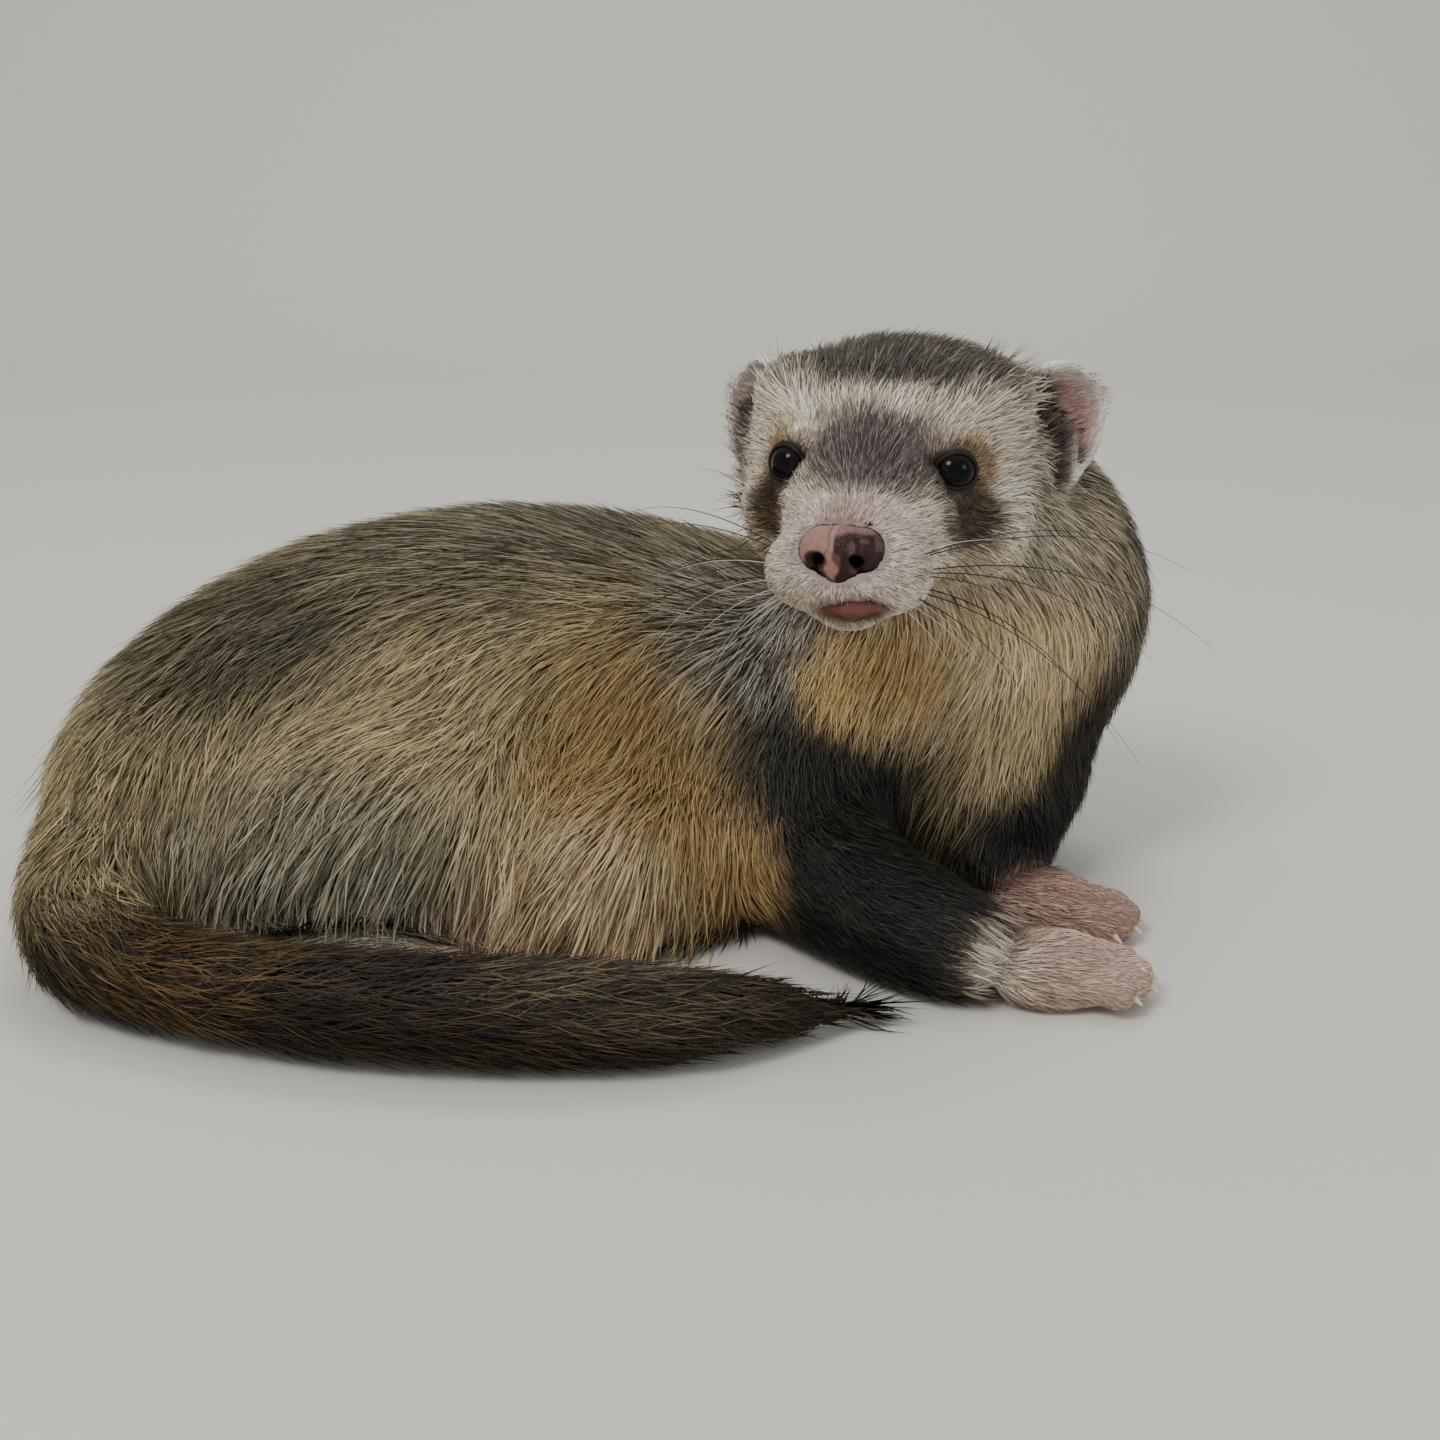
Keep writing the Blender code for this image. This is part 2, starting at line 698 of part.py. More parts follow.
def tube_on(surface, name, points, radii, sink, home, sides=8, steps=4):
    """A tapered tube laid along points of the head's surface, sunk into it."""
    place = head_matrix()
    rows = []
    for row in smooth_path([(*point, 0, 0) for point in points], steps):
        at, normal, _, _ = surface.find_nearest(place @ Vector(row[:3]))
        rows.append(at - normal * sink)
    stations = []
    for i, row in enumerate(rows):
        share = i / (len(rows) - 1)
        radius = radii[0] + (radii[1] - radii[0]) * abs(2 * share - 1)
        stations.append((*row, radius, radius))
    return loft(name, stations, home, up=(0.01, 0.02, 1), sides=sides, steps=1)


def add_mouth(head, surface, home):
    """The groove between the lips, and the bare lower lip under the nose."""
    left = [(-x, y, z) for x, y, z in MOUTH[:0:-1]]
    groove = tube_on(surface, "groove", [*left, *MOUTH], MOUTH_RADII, 0.1, home)
    boolean(head, groove, "DIFFERENCE")
    remove(groove)
    lip = tube_on(surface, "lower_lip", LIP, LIP_RADII, LIP_SINK, home, sides=14)
    grown = [radius + GAP for radius in LIP_RADII]
    bed = tube_on(surface, "bed", LIP, grown, LIP_SINK, home, sides=14)
    boolean(head, bed, "DIFFERENCE")
    remove(bed)
    return lip


def claw_stations(root, along, growth):
    """A claw from inside its toe to its downward-curved point."""
    stations = []
    for share in (-0.5, 0.0, 0.55, 1.0):
        at = root + along * (CLAW_LENGTH * share) - Vector((0, 0, 1.5 * max(share, 0) ** 2))
        radius = CLAW_RADIUS * (1 - 0.8 * max(share, 0) ** 1.6) + growth
        stations.append((*at, radius, radius * 1.15))
    return stations


def add_claws(paw_name, paw, home):
    place = paw_place(paw_name)
    claws = []
    for k, (root, tip, along) in enumerate(toe_tips(paw_name)):
        start = tip - along * 1.4 + Vector((0, 0, 1.2))
        claw = loft(f"{paw_name}_claw_{k + 1}", claw_stations(start, along, 0), home, sides=5,
                    steps=1, place=place)
        bed = loft("bed", claw_stations(start - along * GAP, along, GAP), home, sides=5,
                   steps=1, place=place)
        boolean(paw, bed, "DIFFERENCE")
        remove(bed)
        claws.append(claw)
    return claws


def part_body(home):
    """The flesh parted at its cuts; what no cut takes is the loin."""
    fine = flesh(home)
    coarse = copy_of(fine, "coarse", home)
    thinned(fine, FINE_TRIANGLES, home)
    thinned(coarse, COARSE_TRIANGLES, home)
    pieces = {}
    for name, low, high in CUTS:
        place = cut_place(name)
        source = fine if name in FINE_PIECES else coarse
        piece = copy_of(source, name, home)
        pieces[name] = carve(piece, (fine, coarse), place, low, high, home)
    coarse.name = "loin"
    pieces["loin"] = coarse
    remove(fine)
    return pieces


def add_ear(side, name, head, home):
    bed = ear(side, home, GAP, hollow=False)
    boolean(head, bed, "DIFFERENCE")
    remove(bed)
    made = ear(side, home)
    made.name = name
    return made


def dress(pieces):
    made = {name: material(name) for name in MATERIALS}
    for name, piece in pieces.items():
        slot = "claw" if "claw" in name else NODE_MATERIALS[name.split("_")[0]]
        piece.data.materials.clear()
        piece.data.materials.append(made[slot])
        piece.data.shade_smooth()
        piece.data.set_sharp_from_angle(angle=math.radians(50))


def settle(pieces):
    """Moves all pieces together till the middle of their box's underside is the origin, and
    gives each an origin at its own middle."""
    corners = [vertex.co for piece in pieces.values() for vertex in piece.data.vertices]
    low = Vector([min(corner[axis] for corner in corners) for axis in range(3)])
    high = Vector([max(corner[axis] for corner in corners) for axis in range(3)])
    shift = Vector((-(low.x + high.x) / 2, -(low.y + high.y) / 2, -low.z))
    for piece in pieces.values():
        corners = [Vector(corner) for corner in piece.bound_box]
        centre = (corners[0] + corners[6]) / 2
        piece.data.transform(Matrix.Translation(-centre))
        piece.location = centre + shift


def main():
    clear_scene()
    home = collection("ferret")
    pieces = part_body(home)
    head = pieces["head"]
    surface = surface_of(head)
    for side, word in ((1, "left"), (-1, "right")):
        pieces[f"eye_{word}"] = add_eye(side, f"eye_{word}", head, surface, home)
        pieces[f"ear_{word}"] = add_ear(side, f"ear_{word}", head, home)
    pieces["lower_lip"] = add_mouth(head, surface, home)
    pieces["nose"] = add_nose(head, home)
    largest_piece(head)
    for name in PAWS:
        for claw in add_claws(name, pieces[name], home):
            pieces[claw.name] = claw
        largest_piece(pieces[name])
    dress(pieces)
    settle(pieces)


main()
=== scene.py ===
"""Dresses the still ferret: one skin, ears and all, under a coat of mesh tufts, with its eyes
and lids, nose, lower lip, claws and whiskers, on a plain floor under soft light.

Sizes and places are in mm in the animal's resting frame, as in the part's source: x runs along
the body from rump to chest, y from the near flank to the far one, z up. The head has a frame of
its own: its origin midway between the eyes, x to the animal's left, y backwards, z up. Colours
are linear.
"""

import math

import bmesh
import bpy
import numpy as np
from mathutils import Euler, Matrix, Vector
from mathutils.bvhtree import BVHTree


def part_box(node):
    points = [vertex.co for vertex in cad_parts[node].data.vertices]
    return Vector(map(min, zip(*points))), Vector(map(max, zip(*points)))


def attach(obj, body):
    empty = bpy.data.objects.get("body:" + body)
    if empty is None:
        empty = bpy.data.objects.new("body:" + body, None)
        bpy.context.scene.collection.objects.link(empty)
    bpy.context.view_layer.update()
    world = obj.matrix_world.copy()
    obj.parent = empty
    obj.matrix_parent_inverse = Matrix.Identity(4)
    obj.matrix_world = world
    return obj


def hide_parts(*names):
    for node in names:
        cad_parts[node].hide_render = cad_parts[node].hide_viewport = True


MM = 0.001

# The camera of the photograph, in the animal's frame
CAMERA_PLACE = (0.0, -337.0, 142.0)
CAMERA_DOWN = 18.0  # degrees
CAMERA_LENS = 47.5
CAMERA_SENSOR = 36.0

# The frame places the eyeballs; halfway between them is this point of the animal's frame
EYES_MIDDLE = (25.4, -22.7)
HEAD_PLACE = (25.7, -21.6, 84.0)
HEAD_YAW = -15.0
HEAD_PITCH = -3.5

FLESH = (
    "head", "neck", "chest", "loin", "hips", "tail_base", "tail_middle", "tail_tip",
    "foreleg_right", "foreleg_left", "forepaw_right", "forepaw_left",
    "thigh_right", "thigh_left", "hindpaw_right", "hindpaw_left",
)
PAW_NAMES = ("forepaw_right", "forepaw_left", "hindpaw_right", "hindpaw_left")
SIDES = {"left": 1, "right": -1}
EARS = ("ear_left", "ear_right")
EYES = ("eye_left", "eye_right")

# The skin
SKIN_VOXEL = 0.8
SKIN_GROWTH = 0.25  # closes the gaps between the nodes
SKIN_ROUNDS = 10
BODY_ROUNDS = 36
SINK_STEPS = 5
# Painted shade: the skin under the coat is darkened to a share of the hair's own colour, the bare ears
# less so
SKIN_PAINTED_SHADE = 0.52  # of the hair's own colour
EAR_LIGHTER = 0.4
# Painted shade along the crease of the mouth, beyond the lip
MOUTH_CREASE_SHADE = 0.35

# The coat
FINE_TUFTS = 165000
LONG_TUFTS = 42000
PIECE_TRIANGLES = 190000
BAKE_PATCH = 0.003
FLOOR_CLEARANCE = 0.15
SEED = 7
TUFT_WIDTH = (0.13, 0.015)  # its least, and more for each mm of length
TUFT_RISE = {"fine": (0.45, 1.12), "long": (0.85, 1.3)}  # least and most, over the coat's depth
STRAY_SHARE = 0.04  # of the tufts; these are thinner and stand higher
ROOT_DEPTH = 0.35
# Painted shade: each tuft's root darkened by this factor, where the coat shades it
ROOT_PAINTED_SHADE = 0.78
TIP_TONE = 1.06
TONE_SPREAD = 0.2

# Lines down the body: x, y, z, radius, hair length, depth of the coat
TRUNK_LINE = [
    (62, 4, 34, 20, 10, 3.2),
    (44, 13, 33, 29, 12, 3.6),
    (22, 18, 30, 31, 13, 4.0),
    (-4, 21, 30.5, 36, 14, 4.0),
    (-28, 20, 33, 40, 14, 4.0),
    (-52, 16, 33, 40, 15, 4.0),
    (-76, 7, 30, 35, 15, 4.0),
    (-92, -8, 26, 29, 15, 4.0),
    (-100, -22, 22, 22, 14, 4.0),
    (-106, -32, 15, 16, 13, 3.6),
]
TAIL_LINE = [
    (-100, -18, 22, 18, 13, 4.0),
    (-108, -34, 14, 14, 13, 3.6),
    (-103, -52, 10.5, 11, 13, 3.4),
    (-86, -62, 9.3, 9.6, 13, 3.4),
    (-64, -69.5, 9.3, 9.6, 14, 3.4),
    (-41, -73, 9.3, 9.6, 14, 3.4),
    (-20, -73.5, 9.0, 9.4, 14, 3.4),
    (-4, -71.5, 8.0, 8.2, 15, 3.2),
    (8, -67, 6.0, 5.8, 16, 2.4),
    (16, -63.5, 4.6, 3.8, 15, 1.5),
    (24, -60, 3.8, 1.6, 10, 0.7),
]
NECK_LINE = [
    (33, 4, 82, 20, 7, 2.4),
    (38.5, 8, 74, 24, 9, 2.8),
    (46, 13, 64, 28, 10, 3.2),
    (51.5, 16, 53, 30, 11, 3.4),
    (51, 17, 42, 29, 11, 3.4),
    (49, 15, 30, 26, 11, 3.2),
]
RIGHT_ARM_LINE = [
    (24, 0, 46, 19, 11, 3.2),
    (16, -8, 27, 16, 10, 3.0),
    (15, -20, 15, 14, 9, 2.6),
    (24, -34, 11.5, 12.5, 8.5, 2.2),
    (35, -45.5, 9.5, 11, 7.5, 1.8),
    (45, -52, 7.5, 9, 6, 1.3),
]
LEFT_ARM_LINE = [
    (60, 22, 50, 17, 11, 3.0),
    (61.5, 20, 30, 13, 10, 2.6),
    (60, 11, 19, 12.3, 9, 2.4),
    (55.5, 0, 14, 10.6, 8, 2.0),
    (52.5, -11, 10, 9, 7, 1.6),
    (51.5, -21, 7, 7.3, 5.5, 1.1),
]
PAW_LINES = [
    [(47, -52, 7, 8, 4.5, 0.8), (58, -50, 5, 7.5, 2.6, 0.3), (72, -49, 3, 6, 1.5, 0.15)],
    [(52, -22.5, 6, 7, 4.5, 0.8), (61, -23.7, 4.6, 7, 2.6, 0.3), (74, -24.6, 3, 6, 1.5, 0.15)],
    [(-80, -46, 5, 8, 7, 1.6), (-62, -46.5, 4, 7, 3.4, 0.6), (-40, -47, 3, 6, 1.6, 0.2)],
    [(-54, 60, 6, 8, 7, 1.6), (-36, 63, 5, 7, 3.4, 0.6), (-16, 66, 3, 6, 1.6, 0.2)],
]
# In the head's frame
HEAD_LINE = [
    (0, -28, -12, 7, 1.7, 0.35),
    (0, -19, -13, 10, 2.6, 0.5),
    (0, -8, -10.5, 13, 3.8, 0.7),
    (0, 3, -7, 18, 5.2, 1.0),
    (0, 14, -5, 24, 6.8, 1.5),
    (0, 30, -4, 27, 8.0, 2.1),
    (0, 45, -8, 23, 9.0, 2.6),
]
NOSE_FRONT = (0, -31, -9)  # the hair of the face runs away from here
# Where the hair of the head is at least so long and its coat so deep: centre, radii, length, depth
FLUFF = [
    ((9, 16, 17), (17, 12, 10), 9.0, 3.2),
    ((22, 16, -12), (10, 16, 12), 9.0, 2.2),
    ((6, -3, 6), (10, 8, 6), 5.5, 1.1),
    ((6, -12, -22), (8, 10, 6), 5.0, 1.0),
]
EAR_HAIR = 2.4
EAR_COAT = 0.25

# Tones: the light hairs, the dark hairs, and the share of dark ones
LINE_TONES = {
    "trunk": ((0.48, 0.385, 0.2), (0.2, 0.15, 0.073), 0.3),
    "tail": ((0.06, 0.034, 0.012), (0.007, 0.0045, 0.003), 0.6),
    "neck": ((0.4, 0.33, 0.205), (0.08, 0.062, 0.04), 0.45),
    "arm": ((0.038, 0.033, 0.022), (0.004, 0.004, 0.004), 0.7),
    "paw": ((0.78, 0.56, 0.44), (0.52, 0.31, 0.25), 0.35),
    "head": ((0.94, 0.81, 0.64), (0.27, 0.2, 0.14), 0.27),
}
DORSAL_TONE = ((0.255, 0.212, 0.125), (0.034, 0.027, 0.015), 0.54)
# Markings: centre, radii, tone
RUMP_MARK = ((-103, -34, 26), (15, 24, 24), ((0.42, 0.34, 0.165), (0.11, 0.08, 0.036), 0.4))
TAIL_MARKS = [
    ((-84, -66, 13), (18, 12, 12), ((0.15, 0.085, 0.026), (0.014, 0.009, 0.004), 0.55)),
    ((-14, -76, 15), (24, 10, 8), ((0.17, 0.12, 0.065), (0.02, 0.014, 0.009), 0.62)),
]
BODY_MARKS = [
    ((-92, -12, 54), (30, 26, 14), ((0.17, 0.14, 0.08), (0.03, 0.024, 0.014), 0.54)),
    ((-70, -48, 18), (28, 22, 18), ((0.355, 0.325, 0.225), (0.095, 0.082, 0.052), 0.42)),
    ((-16, -28, 34), (19, 22, 24), ((0.43, 0.285, 0.112), (0.19, 0.115, 0.042), 0.32)),
    ((-23, -44, 14), (17, 17, 18), ((0.66, 0.5, 0.29), (0.33, 0.21, 0.1), 0.28)),
    ((1, -33, 17), (9, 14, 14), ((0.515, 0.35, 0.145), (0.234, 0.133, 0.05), 0.36)),
    ((2, -3, 54), (14, 17, 20), ((0.38, 0.335, 0.25), (0.095, 0.078, 0.052), 0.42)),
    ((20, -10, 26), (19, 19, 25), ((0.052, 0.045, 0.028), (0.006, 0.0055, 0.005), 0.68)),
    ((67, 8, 30), (16, 22, 26), ((0.07, 0.057, 0.036), (0.008, 0.007, 0.006), 0.66)),
    ((75, 12, 56), (12, 18, 20), ((0.2, 0.17, 0.12), (0.028, 0.023, 0.017), 0.6)),
    ((68, -5, 62), (11, 14, 15), ((0.5, 0.41, 0.27), (0.11, 0.088, 0.058), 0.38)),
    ((9, -8, 52), (8, 11, 16), ((0.5, 0.445, 0.375), (0.05, 0.04, 0.034), 0.54)),
    ((44, -16, 47), (27, 18, 13), ((0.92, 0.71, 0.41), (0.56, 0.39, 0.19), 0.25)),
    ((51, -16, 34), (10, 12, 11), ((0.76, 0.59, 0.33), (0.43, 0.31, 0.15), 0.25)),
    ((28, -17, 45), (13, 12, 8), ((0.69, 0.46, 0.195), (0.37, 0.225, 0.08), 0.3)),
    ((45, -57, 9), (6, 7, 7), ((0.84, 0.73, 0.57), (0.48, 0.36, 0.26), 0.25)),
    ((54, -9, 11), (17, 17, 12), ((0.04, 0.034, 0.024), (0.004, 0.004, 0.004), 0.7)),
    # Painted shade: the left forepaw darker, as it lies in shade
    ((65, -27, 6), (14, 10, 9), ((0.55, 0.36, 0.28), (0.36, 0.2, 0.16), 0.35)),
]
# In the head's frame; a mark off the middle is repeated on the other side
HEAD_MARKS = [
    ((0, 44, 10), (18, 20, 18), ((0.34, 0.285, 0.205), (0.06, 0.047, 0.034), 0.5)),
    ((22, 9, -18), (12, 14, 10), ((0.72, 0.6, 0.42), (0.32, 0.245, 0.155), 0.3)),
    ((25, 18, -10), (10, 14, 12), ((0.98, 0.87, 0.69), (0.36, 0.28, 0.195), 0.2)),
    ((2, 17, 19.5), (25, 14, 10), ((0.11, 0.084, 0.06), (0.01, 0.007, 0.006), 0.86)),
    ((27, 20, -1), (5, 7, 10), ((0.6, 0.51, 0.4), (0.07, 0.05, 0.038), 0.45)),
    ((27, 25, 6), (5, 5.5, 9), ((0.14, 0.1, 0.075), (0.022, 0.016, 0.013), 0.7)),
    ((1, -7, 3.2), (13.4, 12.5, 8.0), ((0.23, 0.165, 0.147), (0.045, 0.031, 0.028), 0.62)),
    ((18.5, 0, 2.5), (5, 6, 6), ((0.42, 0.285, 0.14), (0.15, 0.09, 0.04), 0.52)),
    ((13.5, -3.5, 0), (5.2, 5.0, 4.9), ((0.2, 0.135, 0.085), (0.036, 0.024, 0.018), 0.6)),
    ((18, -2, -7.5), (6.6, 7, 5.8), ((0.14, 0.082, 0.044), (0.024, 0.014, 0.008), 0.66)),
    ((0, -21, -11), (11, 12, 8), ((0.74, 0.62, 0.55), (0.42, 0.31, 0.27), 0.24)),
    ((0, -25, -3.5), (6.5, 7, 3.5), ((0.56, 0.39, 0.335), (0.36, 0.22, 0.18), 0.5)),
    ((1, -20, -26.5), (12, 12, 8.0), ((0.9, 0.79, 0.67), (0.6, 0.48, 0.38), 0.2)),
    ((2.1, -25.5, -19.8), (5.6, 4.6, 3.7), ((0.21, 0.095, 0.075), (0.11, 0.042, 0.033), 0.6)),
]
EAR_TONES = {
    "rim": ((0.98, 0.88, 0.77), (0.8, 0.66, 0.58), 0.2),
    "pink": ((0.6, 0.39, 0.33), (0.42, 0.235, 0.195), 0.4),
    "dark": ((0.13, 0.085, 0.07), (0.03, 0.018, 0.015), 0.6),
}
COAT_LAYERS = {"trunk": 7.0, "tail": 8.0, "neck": 7.0, "arm": 6.0, "head": 6.0, "paw": 1.3}
COAT_NAMES = ("trunk", "tail", "neck", "foreleg_right", "foreleg_left", "head", "paws")
ROUNDNESS = 0.8  # how much each tuft's own form shows in its shading, over the skin's
MARK_EDGE = 0.42  # how gradually a marking ends, over its radii

# The mouth, from under the nose to its right corner, in the head's frame
MOUTH = [
    (0, -29, -15.8),
    (3.2, -27.5, -16.3),
    (6.6, -24, -17.0),
    (9.4, -18, -17.4),
    (11.6, -10, -17.0),
    (13, -3, -15.8),
]
MOUTH_DEPTH = 0.8
MOUTH_WIDTH = 0.8

EYE_OUTWARD = 27.0
EYE_UPWARD = -6.0
LID_ANGLES = (59.0, 47.0)  # of the opening, across and up, seen from the eyeball's centre
LID_CORNER = 9.0  # further towards the nose
LID_THICKNESS = 0.3
LID_COVER = 0.3  # of skin over the eyeball
LID_TONE = (0.022, 0.015, 0.012)
NOSE_PLACE = (0.0, -25.4, -10.5)
NOSE_GROWTH = 0.35  # closes the gap round the pad
NOSE_BARE = (6.3, 5.2, 4.8)  # radii with no hair
NOSE_DARK = (0.032, 0.011, 0.01)
NOSE_PINK = (0.34, 0.18, 0.155)
# The nostrils: the pad's dark tone round them, and painted shade deep inside them
NOSTRIL_PLACE = (3.3, -2.6, -0.6)  # from the middle of the pad
NOSTRIL_RADII = (1.9, 2.6, 1.3)
LIP_PLACE = (2.1, -25.8, -18.9)
LIP_BARE = (4.8, 3.4, 3.2)
LIP_TONE = (0.16, 0.057, 0.045)
EAR_PLACES = {"left": (27.3, 29.0, 5.8), "right": (-25.7, 29.4, 4.6)}
EAR_TURN = (-6.0, 16.0, 37.0)
EAR_RADII = (9.2, 6.4, 11.0)
CLAW_BASE = (0.5, 0.33, 0.25)
CLAW_POINT = (0.78, 0.68, 0.55)
# Colour and radius
DARK_WHISKER = ((0.014, 0.011, 0.01), 0.135)
PALE_WHISKER = ((0.58, 0.52, 0.43), 0.09)

FLOOR_TONE = (0.73, 0.69, 0.62, 1)
SKY_TONE = (0.9, 0.95, 1.0, 1)
SKY_STRENGTH = 0.6
LIGHT_AIM = (0.02, 0, 0.04)
# Name, place and breadth in metres, power, colour
LIGHTS = [
    ("key", (-0.45, -0.6, 0.95), 0.4, 6.5, (1.0, 0.985, 0.96)),
    ("fill", (0.9, -0.5, 0.5), 0.4, 1.6, (0.95, 0.97, 1.0)),
    ("top", (0.1, 0.5, 1.1), 0.5, 3.0, (0.98, 0.99, 1.0)),
]


# Frames and numbers

def turned(x, y, z):
    return Euler((math.radians(x), math.radians(y), math.radians(z))).to_matrix().to_4x4()


HEAD_FRAME = Matrix.Translation(HEAD_PLACE) @ turned(HEAD_PITCH, 0, HEAD_YAW)


def through(matrix, points):
    """The points, an array, moved by a matrix."""
    values = np.array(matrix)
    return np.asarray(points, float) @ values[:3, :3].T + values[:3, 3]


def in_head(points):
    """The points in the head's frame."""
    return through(HEAD_FRAME.inverted(), points)


def norm(vectors):
    return np.linalg.norm(vectors, axis=-1)


def unit(vectors):
    lengths = norm(vectors)[..., None]
    return vectors / np.maximum(lengths, 1e-9)


def smooth_step(values, low, high):
    share = np.clip((values - low) / (high - low), 0, 1)
    return share * share * (3 - 2 * share)


def lattice(cells, seed):
    """A steady random number for each whole-numbered cell."""
    i, j, k = (cells + 4096).astype(np.uint64).T
    mixed = i * np.uint64(374761393) + j * np.uint64(668265263) + k * np.uint64(2147483647)
    mixed = (mixed + np.uint64(seed * 1274126177)) & np.uint64(0xFFFFFFFF)
    mixed = ((mixed ^ (mixed >> np.uint64(13))) * np.uint64(1274126177)) & np.uint64(0xFFFFFFFF)
    return ((mixed ^ (mixed >> np.uint64(16))) & np.uint64(0xFFFF)).astype(float) / 65535


def noise(points, size, seed=0):
    """Smooth noise from -1 to 1, whose lumps are about size apart."""
    scaled = np.asarray(points) / size
    base = np.floor(scaled)
    part = scaled - base
    part = part * part * (3 - 2 * part)
    total = np.zeros(len(scaled))
    for corner in np.ndindex(2, 2, 2):
        share = np.prod(np.where(corner, part, 1 - part), axis=1)
        total += share * lattice(base + corner, seed)
    return total * 2 - 1


# The lines of the body: where a point lies, which way its hair runs, how long it is

def make_lines():
    head_line = [(*(HEAD_FRAME @ Vector(row[:3])), *row[3:]) for row in HEAD_LINE]
    named = [
        ("trunk", TRUNK_LINE),
        ("tail", TAIL_LINE),
        ("neck", NECK_LINE),
        ("arm", RIGHT_ARM_LINE),
        ("arm", LEFT_ARM_LINE),
        ("head", head_line),
    ]
    named += [("paw", line) for line in PAW_LINES]
    return [(tone, np.array(line, float)) for tone, line in named]


LINES = make_lines()


def along_line(line, points):
    """Each point's distance over the line's radius, the line's direction and its values."""
    nearness = np.full(len(points), 1e9)
    direction = np.zeros((len(points), 3))
    values = np.zeros((len(points), line.shape[1]))
    steps = unit(np.diff(line[:, :3], axis=0))
    tangents = unit(np.vstack([steps[:1], steps[:-1] + steps[1:], steps[-1:]]))
    for k in range(len(line) - 1):
        start, end = line[k], line[k + 1]
        run = end[:3] - start[:3]
        share = np.clip((points - start[:3]) @ run / (run @ run), 0, 1)[:, None]
        here = start + share * (end - start)
        distance = norm(points - here[:, :3]) / here[:, 3]
        closer = distance < nearness
        nearness[closer] = distance[closer]
        direction[closer] = (tangents[k] + share * (tangents[k + 1] - tangents[k]))[closer]
        values[closer] = here[closer]
    return nearness, unit(direction), values


def survey(points):
    """For each point: the weights of the lines, its hair's run, length and depth of coat."""
    weights, runs, values = [], [], []
    for tone, line in LINES:
        nearness, direction, here = along_line(line, points)
        if tone == "head":
            direction = unit(points - through(HEAD_FRAME, [NOSE_FRONT]))
        if tone == "trunk":
            fall = 0.15 + 1.9 * smooth_step(here[:, 2] + 34 - points[:, 2], 0, 44)
            direction = direction - fall[:, None] * np.array([0, 0, 1.0])
        weights.append(1 / (nearness ** 7 + 1e-3))
        runs.append(direction)
        values.append(here)
    weights = np.array(weights)
    weights /= weights.sum(axis=0)
    run = unit(np.einsum("lp,lpc->pc", weights, np.array(runs)))
    values = np.einsum("lp,lpc->pc", weights, np.array(values))
    length, depth = values[:, 4], values[:, 5]
    local = in_head(points)
    for centre, radii, longer, deeper in FLUFF:
        for sign in (-1, 1):
            reach = norm((local - np.array(centre) * (sign, 1, 1)) / np.array(radii))
            more = weights[5] * (1 - smooth_step(reach, 0.4, 1.2))
            length = length + more * (longer - length) * (length < longer)
            depth = depth + more * (deeper - depth) * (depth < deeper)
    for side in SIDES:
        away = points - EYE_CENTRES[side]
        distance = norm(away)
        near = 1 - smooth_step(distance, 5.0, 10.0)
        run = run + 1.3 * near[:, None] * away / np.maximum(distance, 1)[:, None]
        length = length * (0.36 + 0.64 * smooth_step(distance, 5.0, 14.0))
        depth = depth * (1 - 0.6 * near)
        on_ear = ear_share(side, points)
        way = np.array(ear_frame(side))[:3, :3] @ (0.8 * SIDES[side], 0, 0.6)
        run = run + on_ear[:, None] * (way - run)
        length = length + on_ear * (EAR_HAIR - length)
        depth = depth + on_ear * (EAR_COAT - depth)
    return {"weights": weights, "run": run, "length": length, "depth": depth}


def ear_frame(side):
    tilt, lean, turn = EAR_TURN
    sign = SIDES[side]
    return HEAD_FRAME @ Matrix.Translation(EAR_PLACES[side]) @ turned(tilt, sign * lean, sign * turn)


def ear_local(side, points):
    """The points in the ear's frame, over its radii."""
    return through(ear_frame(side).inverted(), points) / np.array(EAR_RADII)


def ear_share(side, points):
    return 1 - smooth_step(norm(ear_local(side, points)), 1.06, 1.26)


# Markings: the same formula colours the skin and the coat

def tone_array(tone, count):
    light, dark, share = tone
    row = np.array([*light, *dark, share])
    return np.repeat(row[None, :], count, axis=0)


def lay_mark(tones, points, ragged, centre, radii, tone):
    reach = norm((points - np.array(centre)) / np.array(radii)) + ragged
    weight = 1 - smooth_step(reach, 1 - MARK_EDGE, 1 + MARK_EDGE)
    return tones + weight[:, None] * (tone_array(tone, len(points)) - tones)


